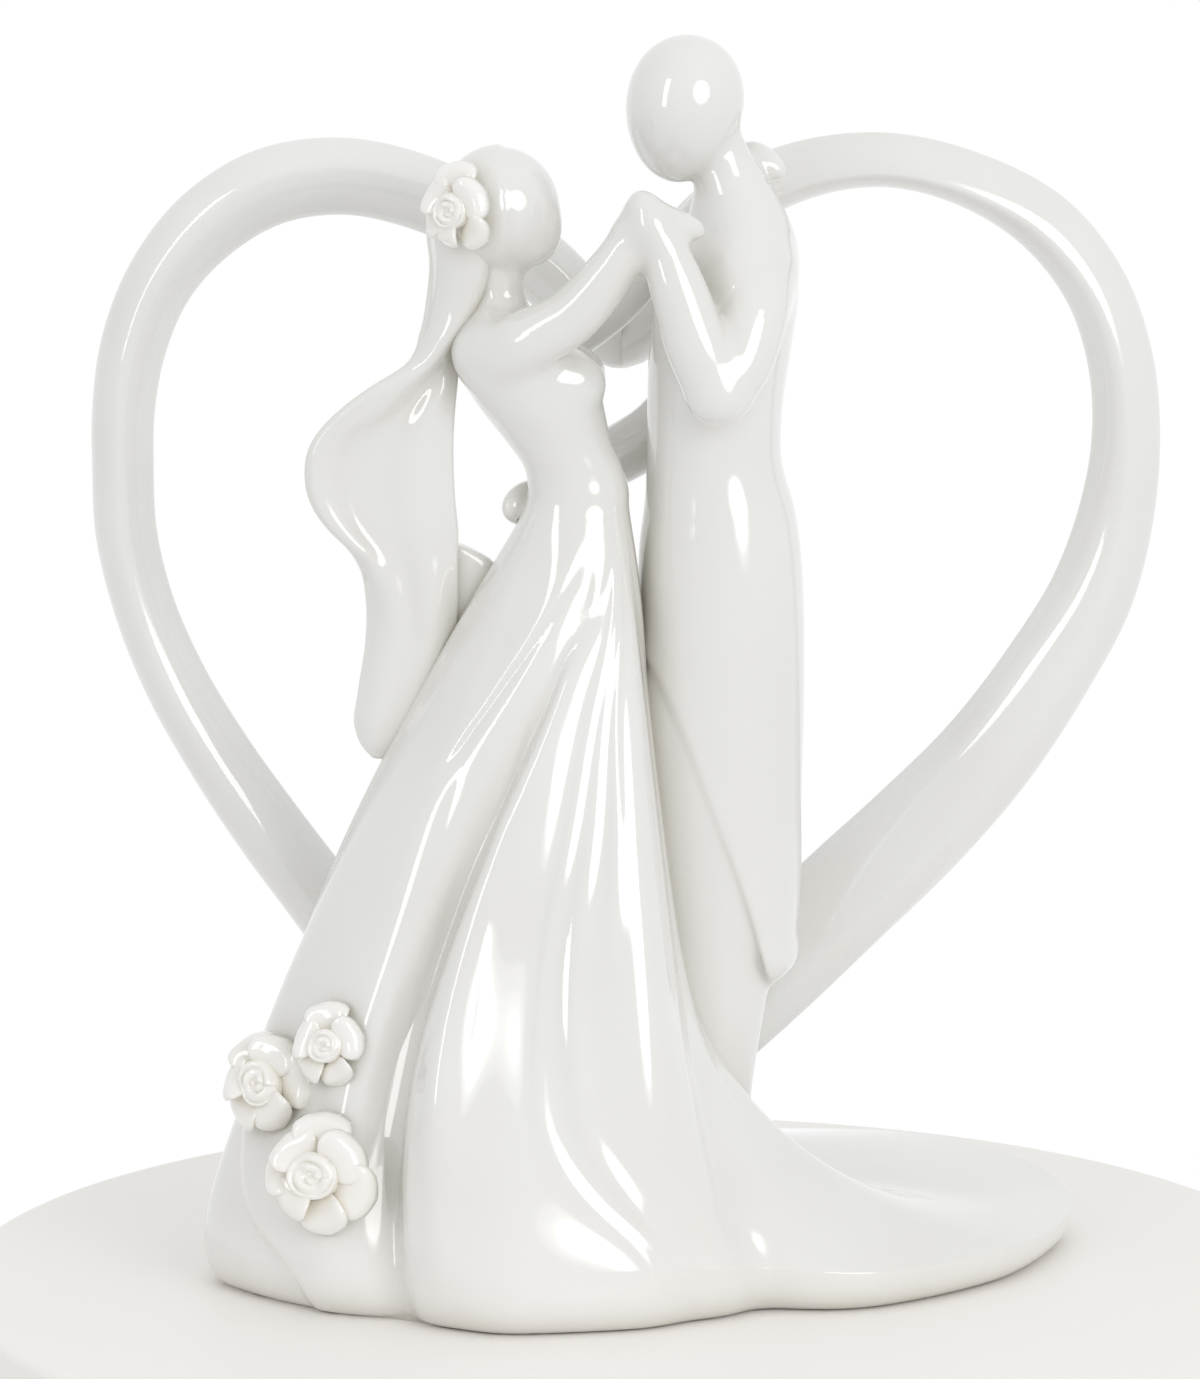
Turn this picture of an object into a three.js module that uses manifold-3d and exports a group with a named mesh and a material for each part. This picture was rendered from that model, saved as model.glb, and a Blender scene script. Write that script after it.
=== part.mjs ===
// Wedding cake topper in white glazed porcelain: a bride and a groom dance in front of an open heart.
// The castings are luted together with slip, and every flower is built up petal by petal.
// Millimetres, +Z up, front towards -Y. The origin is on the floor under the middle of the heart.

import * as THREE from 'three';
import { mergeVertices } from 'three/addons/utils/BufferGeometryUtils.js';
import Module from 'manifold-3d';

const wasm = await Module();
wasm.setup();

// Slip line between two castings
const jointGap = 0.3;

// Gown: a pleated bell on an oval waist, with a train that spreads over the floor
const waistX = -5.8;
const waistY = -4;
const waistHeight = 95;
const waistHalfWidth = 6.4;
const waistHalfDepth = 5.6;
const hemX = -16;
const hemY = -4;
const bellEdgeHeight = 8;
const trainEdgeHeight = 4;
const hemCurl = 3.5;
const bellCurve = 0.4;
const gownWall = 3.5;
const hollowHeight = 76;
// Hem seen from above, from the notch at the train's front anticlockwise: x, y, share that is bell, and how
// late the rest spreads into the train
const hemOutline = [
  [17, -24.2, 0.52, 6],
  [31.5, -21, 0.26, 6],
  [46, -9, 0.14, 6.5],
  [53.5, 5, 0.1, 10],
  [56, 18, 0.1, 16],
  [51, 29, 0.11, 18],
  [37, 34.7, 0.14, 18],
  [18, 34.2, 0.22, 16],
  [2, 31.5, 0.42, 12],
  [-12, 29, 0.75, 8],
  [-28, 24, 1, 7],
  [-42, 14, 1, 7],
  [-50, 4, 1, 7],
  [-52.8, -6, 1, 7],
  [-47.5, -14.5, 1, 7],
  [-39, -23, 1, 7],
  [-33, -26, 1, 7],
  [-27.5, -28.7, 1, 7],
  [-21.5, -31.6, 1, 7],
  [-13, -34.6, 1, 7],
  [2, -32.5, 0.97, 7],
  [10, -28, 0.8, 6],
];
// Pleats: each runs on a route of height, line of the hem outline, and stands out or lies in by height, amount.
// Its widths to the left and to the right are counted in lines
const pleats = [
  {
    route: [[0, 14.6], [18, 14.4], [42, 14.5], [63, 15], [75, 16.6], [84, 18]],
    rise: [[0, 0.3], [20, 1.2], [60, 1.4], [84, 0.5], [92, 0]],
    left: 0.9,
    right: 0.9,
  },
  {
    route: [[0, 17], [7, 16.8], [19, 16.35], [32, 16.2], [45, 16.6], [60, 17.3], [77, 18.7], [90, 19.5]],
    rise: [[0, -1.2], [8, -2], [25, -2.3], [45, -2], [62, -1.5], [80, -0.7], [90, 0]],
    left: 0.75,
    right: 0.36,
  },
  {
    route: [[0, 17.9], [12, 17.5], [21, 17.1], [30, 16.9], [42, 17.1], [52, 17.65], [63, 18], [85, 19.6]],
    rise: [[0, 0.5], [15, 1.6], [35, 1.7], [60, 0.9], [85, 0]],
    left: 0.36,
    right: 0.8,
  },
  {
    route: [[0, 19.2], [15, 19], [28, 18.7], [52, 18.4], [65, 18.7], [83, 19.6]],
    rise: [[0, 0], [20, 0.7], [55, 0.8], [83, 0]],
    left: 0.6,
    right: 0.5,
  },
  {
    route: [[0, 21.9], [12, 21.3], [23, 20.8], [44, 20.4], [60, 20.4], [80, 20.9]],
    rise: [[0, 0], [25, 0.7], [60, 0.7], [80, 0]],
    left: 0.5,
    right: 0.6,
  },
  {
    route: [[0, 11.4], [40, 11.6], [80, 12.4]],
    rise: [[0, -1.2], [30, -1.6], [80, 0]],
    left: 0.5,
    right: 0.4,
  },
  {
    route: [[0, 10.6], [40, 10.9], [80, 11.6]],
    rise: [[0, 0.4], [30, 1], [80, 0]],
    left: 0.5,
    right: 0.5,
  },
  {
    route: [[0, 9.7], [40, 10], [80, 10.6]],
    rise: [[0, -0.8], [30, -1.4], [80, 0]],
    left: 0.4,
    right: 0.5,
  },
  {
    route: [[0, 12.6], [40, 12.7], [80, 13.6]],
    rise: [[0, -1], [30, -1.2], [80, 0]],
    left: 0.35,
    right: 0.6,
  },
];

// Bride above the waist, measured from the middle of the waist
// Bodice levels: height, x, half width, half depth
const bodiceLevels = [
  [0.3, 0, 6.2, 5.4],
  [5, -0.7, 5.9, 5.4],
  [8.5, -2.2, 6.4, 5.9],
  [13, -4.4, 7.5, 7.2],
  [17, -6, 8.6, 8],
  [20, -7.8, 7.2, 8],
  [23, -9.2, 4.6, 5.6],
  [25, -9.5, 2.4, 3.2],
];
const brideHeadPlace = [-9.3, 0, 37.4];
const brideHeadHalfWidth = 6.6;
const brideHeadHalfDepth = 6.8;
const brideHeadHalfHeight = 7.2;
const brideHeadLean = -22;
const brideNeckFoot = [-9.6, 0, 22];
const brideNeckRadius = 3;
const brideRightArm = [[-11.7, -3, 19.5], [-6.7, -7, 21.9], [-1, -8.8, 25.3], [3.8, -9.4, 30.7]];
const brideRightRadii = [3.8, 3.6, 3.2, 2.7, 2.4, 2.3, 2];
const brideLeftArm = [[-8.7, 9, 19], [-2.2, 13, 19.5], [4.3, 15.6, 23.5], [9.8, 16.4, 29.2]];
const brideLeftRadii = [3.6, 3.2, 2.9, 2.6, 2.4, 2.2, 2.3];

// The groom's right hand lies on her back
const rightHand = [[-3.7, 10, 1.2], [-7.4, 4, 0.2]];

// Veil: a cap over the back of the head and a waved sheet that hangs from it
const veilThickness = 0.9;
const veilCapEdge = 0.6;
const veilWave = 2.6;
// Veil levels: height above the waist, left edge, right edge, y, thickness
const veilLevels = [
  [-29, -24.8, -22.4, 0.5, 1.8],
  [-25, -25.6, -20.4, 0.5, 2.2],
  [-19, -24.2, -16.8, 0.5, 2.2],
  [-12, -24.3, -15, 0, 2.2],
  [-5, -26.5, -15, 0, 2.2],
  [1, -31.4, -15.1, 0, 2.2],
  [6, -32.7, -15.2, 0, 2.2],
  [11, -31, -15.2, -0.4, 2.4],
  [15, -27.2, -15.1, -0.8, 2.8],
  [19, -21.4, -14.6, -1.2, 3.6],
  [24, -18.2, -12.2, -1.4, 4.4],
  [30, -17.4, -10.4, -1.4, 4.6],
  [36, -16.6, -10.6, -1.2, 4],
];
// Stay: a web of clay that ties the veil's sheet to the back of the gown
const stayThickness = 4;
const stayFront = 0.6;
const stayOutline = [[-17, -15], [-17, -4.8], [-6, -10], [-6, -18]];

// Groom, measured from the floor under his middle
const groomX = 11.5;
const groomY = 0;
const coatHem = 36;
// Coat levels: height above its hem, x, half width, half depth
const coatLevels = [
  [0, 0, 7, 8.6],
  [5, 0, 9.3, 9.8],
  [26, 0.3, 9.7, 10.4],
  [44, 0.4, 9.8, 10.7],
  [56, 0.1, 9.5, 10.1],
  [65, -0.8, 8.2, 9.2],
  [71, -0.8, 8.2, 9.4],
  [79, -0.1, 8.6, 10.8],
  [86, 0.7, 8.7, 11.6],
  [91, 1.6, 7.6, 10.6],
  [95, 2.2, 5.8, 7.4],
  [98, 2, 3.2, 4],
];
// Front edge of the cutaway coat: x, height above the hem
const cutawayEdge = [[-7.3, 41.4], [-1, 24], [3, 12.3], [5.1, 4.4], [6, -6]];
// Trouser levels: height, x, half width, half depth
const trouserLevels = [
  [1, -2.2, 6.6, 7],
  [22, -2.4, 6.6, 7.4],
  [36, -1.8, 7.4, 8.4],
  [52, -1, 8, 9.1],
  [70, -0.2, 8.5, 9.5],
  [82, 0, 8.3, 9.2],
];
const groomHeadPlace = [-4.6, 0, 108];
const groomHeadHalfWidth = 6.9;
const groomHeadHalfDepth = 7.5;
const groomHeadHalfHeight = 8.9;
const groomHeadLean = 8;
const groomNeckFoot = [1.8, 0, 94];
const groomNeckRadius = 4.2;
const leftUpperArm = [[5.4, -8.5, 89], [3.6, -13, 82.8], [-0.2, -15.6, 75.8]];
const leftUpperRadii = [4.4, 4.1, 3.7];
const leftForearm = [
  [-0.2, -15.6, 75.8],
  [-3.2, -16.8, 81.5],
  [-5.7, -16.4, 88],
  [-7.3, -15.8, 92.8],
  [-8.7, -15.4, 96.6],
];
const leftForeRadii = [3.7, 3.4, 2.9, 2.6, 2.7];
const rightUpperArm = [[4, 8.5, 88], [-1.5, 12.6, 77], [-6, 12.6, 67.6]];
const rightUpperRadii = [4.2, 4, 3.9];
const rightForearm = [[-6, 12.6, 67.6], [-14.5, 10.6, 63]];
const rightForeRadii = [3.9, 3.5, 2.8, 2.4];

// The bride's right hand lies in his left hand, and her left hand on the back of his neck
const brideRightHand = [[-10.1, -12.8, 94.8], [-6.9, -10.6, 97.2], [-3.3, -10.2, 95.6]];
const brideLeftHand = [[-1.5, 11.6, 94.6], [3.1, 8, 99.4], [5.3, 4, 101.2]];

// Heart: a ridged band behind the couple, in two halves that meet at the cleft and are seated on the gown
const heartY = 22;
const heartReach = 62.5;
const heartRise = 134.2;
const heartBandDepth = 9;
const heartTipShift = -11.4;
const heartLeanCurve = 1.5;
const heartRidge = 1.3;
// Middle line of one half: share of the reach, share of the rise, band width on the left and on the right
const heartLine = [
  [-0.06, 0.8, 8.6, 8.6],
  [0, 0.845, 8.6, 8.6],
  [0.19, 0.93, 9, 7.6],
  [0.53, 1, 9, 6.8],
  [0.83, 0.94, 8.6, 7.4],
  [1, 0.73, 8, 8],
  [0.89, 0.525, 8.4, 9.4],
  [0.6, 0.345, 9, 11.4],
  [0, 0.02, 9, 10],
  [-0.05, -0.02, 9, 10],
];

// Flowers: each has a bud and a ring of petals, in shares of the flower's radius
const petalThickness = 1;
const budRadius = 0.45;
const budHeight = 0.72;
// Bud's section at its foot, its middle and its top, as shares of its radius
const budTaper = [0.8, 1, 0.62];
const petalRoot = 0.36;
const petalFoot = 0.17;
const petalCrest = 0.28;
const petalCurl = 0.75;
const petalCup = 0.16;
// Part of a petal's length that narrows to its tip, and how much it narrows there
const petalTip = 0.5;
const petalPinch = 0.72;
// Roses on the gown sit on a line of the hem outline, counted from its first point, at a height
const roseUpper = { radius: 4.3, petals: 5, line: 14.65, height: 32.2 };
const roseLeft = { radius: 5.3, petals: 6, line: 13.8, height: 26.8 };
const roseLower = { radius: 7, petals: 7, line: 15.3, height: 17.4 };
// The hair flower sits on the veil's cap, on this bearing from the middle of the head
const hairFlower = { radius: 4.9, petals: 6, bearing: [-0.56, -0.82, 0.08] };

// Facets
const gownSides = 110;
const gownRows = 22;
const gownRowCrowding = 1.6;
const hollowSides = 24;
const hollowRows = 6;
const bodySides = 20;
const bodyRows = 15;
const limbSides = 10;
const limbSteps = 2;
// Bends of the two rings that round a limb's end, and a direction that no limb runs along
const limbEnd = [1.2, 0.6];
const limbSide = [0.3, 1, 0.2];
const headSides = 18;
const heartSteps = 36;
const heartSides = 10;
const veilRows = 18;
const veilSides = 16;
const veilEdgeRound = 0.6;
const petalSide = 3;
const petalRows = 3;
// Steps along the hem outline and up the gown over which its slope is taken
const slopeLine = 0.3;
const slopeHeight = 1;

const porcelain = new THREE.MeshStandardMaterial({ color: 0xf1f1ef, roughness: 0.1, metalness: 0 });
const rosePorcelain = new THREE.MeshStandardMaterial({ color: 0xf3f1ea, roughness: 0.14, metalness: 0 });

const topper = new THREE.Group();
const shapes = {};

// Solids

function solid(geometry) {
  geometry.deleteAttribute('normal');
  geometry.deleteAttribute('uv');
  const welded = mergeVertices(geometry);
  const vertProperties = new Float32Array(welded.getAttribute('position').array);
  const triVerts = new Uint32Array(welded.getIndex().array);
  return new wasm.Manifold(new wasm.Mesh({ numProp: 3, vertProperties, triVerts }));
}

// Closed skin over a row of rings, with a fan over both ends, turned so that it faces out.
function skin(rings) {
  const count = rings[0].length;
  const corners = rings.flat();
  const faces = [];
  for (let row = 0; row + 1 < rings.length; row++) {
    for (let i = 0; i < count; i++) {
      const here = row * count + i;
      const next = row * count + (i + 1) % count;
      faces.push([here, next, here + count], [next, next + count, here + count]);
    }
  }
  for (const row of [0, rings.length - 1]) {
    const middle = corners.length;
    const sum = rings[row].reduce((total, point) => total.add(point), new THREE.Vector3());
    corners.push(sum.divideScalar(count));
    for (let i = 0; i < count; i++) {
      const here = row * count + i;
      const next = row * count + (i + 1) % count;
      faces.push(row === 0 ? [next, here, middle] : [here, next, middle]);
    }
  }
  const start = corners[0];
  const arm = (i) => corners[i].clone().sub(start);
  const volume = faces.reduce((total, [a, b, c]) => total + arm(a).dot(arm(b).cross(arm(c))), 0);
  const turned = volume < 0 ? faces.map(([a, b, c]) => [a, c, b]) : faces;
  const geometry = new THREE.BufferGeometry().setFromPoints(corners);
  geometry.setIndex(turned.flat());
  return solid(geometry);
}

const vector = (point) => new THREE.Vector3(...point);
// Shift of the first and the last of the rings of a skin that is grown by an amount.
const endShift = (row, last, grow) => (row === last ? grow : 0) - (row === 0 ? grow : 0);
const fromWaist = ([x, y, z]) => [waistX + x, waistY + y, waistHeight + z];
const fromGroom = ([x, y, z]) => [groomX + x, groomY + y, coatHem + z];

// Round sections along a smooth curve, with rounded ends.
function limb(points, radii, grow) {
  const curve = new THREE.CatmullRomCurve3(points.map(vector));
  const radiusAt = new THREE.CubicInterpolant(radii.map((_, i) => i), radii, 1);
  const spans = points.length - 1;
  const rings = [];
  let side = vector(limbSide);
  const addRing = (t, bend) => {
    const tangent = curve.getTangent(t);
    const radius = radiusAt.evaluate(t * spans)[0] + grow;
    const middle = curve.getPoint(t).addScaledVector(tangent, radius * Math.sin(bend));
    side = side.clone().addScaledVector(tangent, -side.dot(tangent)).normalize();
    const up = tangent.clone().cross(side);
    rings.push(Array.from({ length: limbSides }, (_, i) => {
      const turn = 2 * Math.PI * i / limbSides;
      return middle.clone()
        .addScaledVector(side, radius * Math.cos(bend) * Math.cos(turn))
        .addScaledVector(up, radius * Math.cos(bend) * Math.sin(turn));
    }));
  };
  limbEnd.forEach((bend) => addRing(0, -bend));
  for (let step = 0; step <= limbSteps * spans; step++) {
    addRing(step / (limbSteps * spans), 0);
  }
  limbEnd.toReversed().forEach((bend) => addRing(1, bend));
  return skin(rings);
}

// Level ovals, smoothed between the given levels: height, x, y, half width, half depth.
function body(levels, grow) {
  const heights = levels.map((level) => level[0]);
  const ovalAt = new THREE.CubicInterpolant(heights, levels.flatMap((level) => level.slice(1)), 4);
  const bottom = heights[0];
  const top = heights[heights.length - 1];
  const rings = [];
  for (let row = 0; row <= bodyRows; row++) {
    const height = bottom + (top - bottom) * row / bodyRows;
    const [x, y, halfWidth, halfDepth] = ovalAt.evaluate(height);
    const level = height + endShift(row, bodyRows, grow);
    rings.push(Array.from({ length: bodySides }, (_, i) => {
      const turn = 2 * Math.PI * i / bodySides;
      return new THREE.Vector3(
        x + (halfWidth + grow) * Math.cos(turn), y + (halfDepth + grow) * Math.sin(turn), level);
    }));
  }
  return skin(rings);
}

function egg(place, halfWidth, halfDepth, halfHeight, lean, grow) {
  const geometry = new THREE.SphereGeometry(1, headSides, headSides / 2);
  geometry.rotateX(Math.PI / 2);
  geometry.scale(halfWidth + grow, halfDepth + grow, halfHeight + grow);
  geometry.rotateY(THREE.MathUtils.degToRad(lean));
  geometry.translate(...place);
  return solid(geometry);
}

// Straight prism along Y over an outline given as x, height.
function prism(outline, front, back) {
  const shape = new THREE.Shape(outline.map(([x, z]) => new THREE.Vector2(x, z)));
  const geometry = new THREE.ExtrudeGeometry(shape, { depth: back - front, bevelEnabled: false });
  geometry.rotateX(Math.PI / 2);
  geometry.translate(0, back, 0);
  return solid(geometry);
}

// Takes a piece into the topper, cut clear of the pieces that it is luted to.
function place(name, make, neighbours, material = porcelain, cut = (shape) => shape) {
  shapes[name] = make;
  let shape = make(0);
  for (const neighbour of neighbours) {
    shape = shape.subtract(shapes[neighbour](jointGap));
  }
  const { vertProperties, triVerts } = cut(shape).getMesh();
  const geometry = new THREE.BufferGeometry();
  geometry.setAttribute('position', new THREE.BufferAttribute(vertProperties, 3));
  geometry.setIndex(new THREE.BufferAttribute(triVerts, 1));
  const mesh = new THREE.Mesh(geometry, material);
  mesh.name = name;
  topper.add(mesh);
}

// Gown

const hemCurve = new THREE.CatmullRomCurve3(hemOutline.map(([x, y, bellShare]) => vector([x, y, bellShare])), true);

// How late the gown spreads into the train on a line of the hem.
function latenessAt(line) {
  const before = Math.floor(line);
  const [a, b] = [before, before + 1].map((i) => hemOutline[(i + hemOutline.length) % hemOutline.length].at(-1));
  return a + (b - a) * (line - before);
}

// Share of the reach from the waist to the hem that the bell has spread at a height, and the way down to the hem.
function spread(height, edgeHeight) {
  const fall = Math.min(1, (waistHeight - height) / (waistHeight - edgeHeight));
  return { bell: fall * (1 + bellCurve * (1 - fall)), fall };
}

function edgeHeightAt(bellShare) {
  return trainEdgeHeight + (bellEdgeHeight - trainEdgeHeight) * bellShare;
}

// Point of the smooth gown on a line of the hem, counted in points of its outline.
function gownPoint(line, height, trainShare = 1) {
  const hem = hemCurve.getPoint(line / hemOutline.length);
  const turn = Math.atan2(hem.y - hemY, hem.x - hemX);
  const x = waistX + waistHalfWidth * Math.cos(turn);
  const y = waistY + waistHalfDepth * Math.sin(turn);
  const { bell, fall } = spread(height, edgeHeightAt(hem.z));
  const share = hem.z * bell + trainShare * (1 - hem.z) * fall ** latenessAt(line);
  return new THREE.Vector3(x + (hem.x - x) * share, y + (hem.y - y) * share, height);
}

const pleatCurves = pleats.map(({ route, rise, left, right }) => {
  const curve = (rows) => new THREE.CubicInterpolant(rows.map((row) => row[0]), rows.map((row) => row[1]), 1);
  return { route: curve(route), rise: curve(rise), left, right };
});

// How far the pleats stand out of the smooth gown.
function pleatRise(line, height) {
  const lines = hemOutline.length;
  return pleatCurves.reduce((total, { route, rise, left, right }) => {
    const offset = line - route.evaluate(height)[0];
    const near = offset - lines * Math.round(offset / lines);
    return total + rise.evaluate(height)[0] * Math.exp(-((near / (near < 0 ? left : right)) ** 2));
  }, 0);
}

// Point of the pleated gown, pushed out by an amount.
function gownSurface(line, height, push = 0) {
  const along = hemCurve.getTangent(line / hemOutline.length);
  const outward = new THREE.Vector3(along.y, -along.x, 0).normalize();
  return gownPoint(line, height).addScaledVector(outward, pleatRise(line, height) + push);
}

function hemLines(count) {
  return Array.from({ length: count }, (_, i) => hemOutline.length * i / count);
}

function gownShell(grow) {
  const rings = [];
  for (let row = 0; row <= gownRows; row++) {
    const height = waistHeight * (row / gownRows) ** gownRowCrowding;
    rings.push(hemLines(gownSides).map((line) => {
      const below = Math.max(0, 1 - height / edgeHeightAt(hemCurve.getPoint(line / hemOutline.length).z));
      const inset = hemCurl * (1 - Math.sqrt(1 - below * below));
      const point = gownSurface(line, height, grow - inset);
      point.z += row === 0 ? -grow : grow;
      return point;
    }));
  }
  return skin(rings);
}

// Hollow under the bell, open at the foot.
function gownHollow() {
  const rings = [];
  for (let row = 0; row <= hollowRows; row++) {
    const height = Math.max(bellEdgeHeight, hollowHeight * row / hollowRows);
    const { bell } = spread(height, bellEdgeHeight);
    const axisX = waistX + (hemX - waistX) * bell;
    const axisY = waistY + (hemY - waistY) * bell;
    const axis = new THREE.Vector3(axisX, axisY, height);
    rings.push(hemLines(hollowSides).map((line) => {
      const arm = gownPoint(line, height, 0).sub(axis);
      const point = axis.clone().addScaledVector(arm, 1 - gownWall / arm.length());
      if (row === 0) point.z = -gownWall;
      return point;
    }));
  }
  return skin(rings);
}

place('gown_skirt', gownShell, [], porcelain, (shape) => shape.subtract(gownHollow()));

// Groom

const trousers = trouserLevels.map(([z, x, halfWidth, halfDepth]) =>
  [z, groomX + x, groomY, halfWidth, halfDepth]);
place('groom_trousers', (grow) => body(trousers, grow), ['gown_skirt']);

const coat = coatLevels.map(([z, x, halfWidth, halfDepth]) =>
  [coatHem + z, groomX + x, groomY, halfWidth, halfDepth]);
const coatReach = 2 * Math.max(...coatLevels.map((level) => level[3]));
const cutawayTop = cutawayEdge[0][1];
const cutawayFoot = cutawayEdge[cutawayEdge.length - 1][1];
const cutaway = [[-coatReach, cutawayTop], [-coatReach, cutawayFoot], ...cutawayEdge.toReversed()]
  .map(([x, z]) => [groomX + x, coatHem + z]);
place('groom_coat', (grow) => body(coat, grow), ['gown_skirt', 'groom_trousers'], porcelain,
  (shape) => shape.subtract(prism(cutaway, groomY - coatReach, groomY + coatReach)));

function groomHead(grow) {
  const middle = fromGroom(groomHeadPlace);
  const head = egg(middle, groomHeadHalfWidth, groomHeadHalfDepth, groomHeadHalfHeight,
    groomHeadLean, grow);
  return head.add(limb([fromGroom(groomNeckFoot), middle], [groomNeckRadius, groomNeckRadius], grow));
}
place('groom_head', groomHead, ['groom_coat']);

function groomLeftArm(grow) {
  const upper = limb(leftUpperArm.map(fromGroom), leftUpperRadii, grow);
  return upper.add(limb(leftForearm.map(fromGroom), leftForeRadii, grow));
}
place('groom_left_arm', groomLeftArm, ['groom_coat', 'gown_skirt']);

// Bride

const bodice = bodiceLevels.map(([z, x, halfWidth, halfDepth]) =>
  [waistHeight + z, waistX + x, waistY, halfWidth, halfDepth]);
place('bride_bodice', (grow) => body(bodice, grow), ['gown_skirt', 'groom_coat']);

function brideEgg(grow) {
  return egg(fromWaist(brideHeadPlace), brideHeadHalfWidth, brideHeadHalfDepth, brideHeadHalfHeight,
    brideHeadLean, grow);
}
function brideHead(grow) {
  const neck = [brideNeckFoot, brideHeadPlace].map(fromWaist);
  return brideEgg(grow).add(limb(neck, [brideNeckRadius, brideNeckRadius], grow));
}
place('bride_head', brideHead, ['bride_bodice']);

function groomRightArm(grow) {
  const upper = limb(rightUpperArm.map(fromGroom), rightUpperRadii, grow);
  const route = [...rightForearm.map(fromGroom), ...rightHand.map(fromWaist)];
  return upper.add(limb(route, rightForeRadii, grow));
}
place('groom_right_arm', groomRightArm, ['groom_coat', 'bride_bodice', 'gown_skirt']);

function brideArm(arm, hand, radii, grow) {
  return limb([...arm.map(fromWaist), ...hand.map(fromGroom)], radii, grow);
}
place('bride_right_arm', (grow) => brideArm(brideRightArm, brideRightHand, brideRightRadii, grow),
  ['bride_bodice', 'bride_head', 'groom_left_arm', 'groom_coat', 'groom_head']);
place('bride_left_arm', (grow) => brideArm(brideLeftArm, brideLeftHand, brideLeftRadii, grow),
  ['bride_bodice', 'bride_head', 'groom_coat', 'groom_head', 'groom_right_arm']);

// Veil

function veilSheet(grow) {
  const heights = veilLevels.map((level) => level[0]);
  const levelAt = new THREE.CubicInterpolant(heights, veilLevels.flatMap((level) => level.slice(1)), 4);
  const bottom = heights[0];
  const top = heights[heights.length - 1];
  const widest = Math.max(...veilLevels.map(([, left, right]) => (right - left) / 2));
  const rings = [];
  for (let row = 0; row <= veilRows; row++) {
    const height = bottom + (top - bottom) * row / veilRows;
    const [left, right, y, thickness] = levelAt.evaluate(height);
    const half = (right - left) / 2;
    rings.push(Array.from({ length: veilSides }, (_, i) => {
      const turn = 2 * Math.PI * i / veilSides;
      const across = Math.cos(turn);
      const round = Math.sign(Math.sin(turn)) * Math.abs(Math.sin(turn)) ** veilEdgeRound;
      const wave = veilWave * half / widest * Math.sin(Math.PI * across);
      return vector(fromWaist([
        (left + right) / 2 + (half + grow) * across,
        y + wave + (thickness / 2 + grow) * round,
        height + endShift(row, veilRows, grow),
      ]));
    }));
  }
  return skin(rings);
}

function veil(grow) {
  const [x, y, z] = fromWaist(brideHeadPlace);
  const cap = brideEgg(jointGap + veilThickness + grow);
  const size = 2 * (brideHeadHalfHeight + brideHeadHalfDepth + veilThickness);
  const edge = x + veilCapEdge + grow;
  const back = prism([[edge - size, z - size], [edge, z - size], [edge, z + size], [edge - size, z + size]],
    y - size, y + size);
  return cap.intersect(back).add(veilSheet(grow));
}
place('bridal_veil', veil,
  ['bride_head', 'bride_bodice', 'gown_skirt', 'bride_right_arm', 'bride_left_arm']);

const stay = stayOutline.map(([x, z]) => [waistX + x, waistHeight + z]);
place('veil_stay',
  (grow) => prism(stay, waistY + stayFront - grow, waistY + stayFront + stayThickness + grow),
  ['bridal_veil', 'gown_skirt', 'groom_right_arm', 'bride_bodice']);

// Heart

function heartHalf(side, grow) {
  const line = new THREE.CatmullRomCurve3(
    heartLine.map(([x, z]) => new THREE.Vector3(side * heartReach * x, 0, heartRise * z)));
  const widths = heartLine.map(([, , left, right]) => side < 0 ? left : right);
  const widthAt = new THREE.CubicInterpolant(widths.map((_, i) => i), widths, 1);
  const widest = heartRise * heartLine.find(([x]) => x === 1)[1];
  const rings = [];
  for (let step = 0; step <= heartSteps; step++) {
    const point = line.getPoint(step / heartSteps);
    const tangent = line.getTangent(step / heartSteps);
    const outward = new THREE.Vector3(tangent.z, 0, -tangent.x).multiplyScalar(side);
    const drop = Math.max(0, 1 - point.z / widest);
    point.x += heartTipShift * drop ** heartLeanCurve;
    point.y += heartY;
    const halfWidth = widthAt.evaluate((widths.length - 1) * step / heartSteps)[0] / 2 + grow;
    const halfDepth = heartBandDepth / 2 + grow;
    rings.push(Array.from({ length: heartSides }, (_, i) => {
      const turn = 2 * Math.PI * i / heartSides;
      const ridged = (value) => Math.sign(value) * Math.abs(value) ** heartRidge;
      const corner = point.clone().addScaledVector(outward, halfWidth * ridged(Math.cos(turn)));
      corner.y += halfDepth * ridged(Math.sin(turn));
      return corner;
    }));
  }
  const parting = side * (jointGap / 2 - grow);
  const far = side * 2 * heartReach;
  const foot = bellEdgeHeight - grow;
  const own = prism([
    [far, foot],
    [heartTipShift + parting, foot],
    [parting, widest / 2],
    [parting, 2 * heartRise],
    [far, 2 * heartRise],
  ], heartY - heartBandDepth, heartY + heartBandDepth);
  return skin(rings).intersect(own);
}
const heartSeat = ['gown_skirt', 'groom_trousers', 'groom_coat', 'bride_left_arm', 'groom_right_arm'];
place('heart_left_half', (grow) => heartHalf(-1, grow), heartSeat);
place('heart_right_half', (grow) => heartHalf(1, grow), heartSeat);

// Flowers

function bud(frame, radius, grow) {
  const core = radius * budRadius;
  const height = radius * budHeight;
  const points = [[0, 0, -core], [0, 0, height / 2], [0, 0, height]];
  const placed = points.map((point) => vector(point).applyMatrix4(frame).toArray());
  return limb(placed, budTaper.map((share) => core * share), grow);
}

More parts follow.
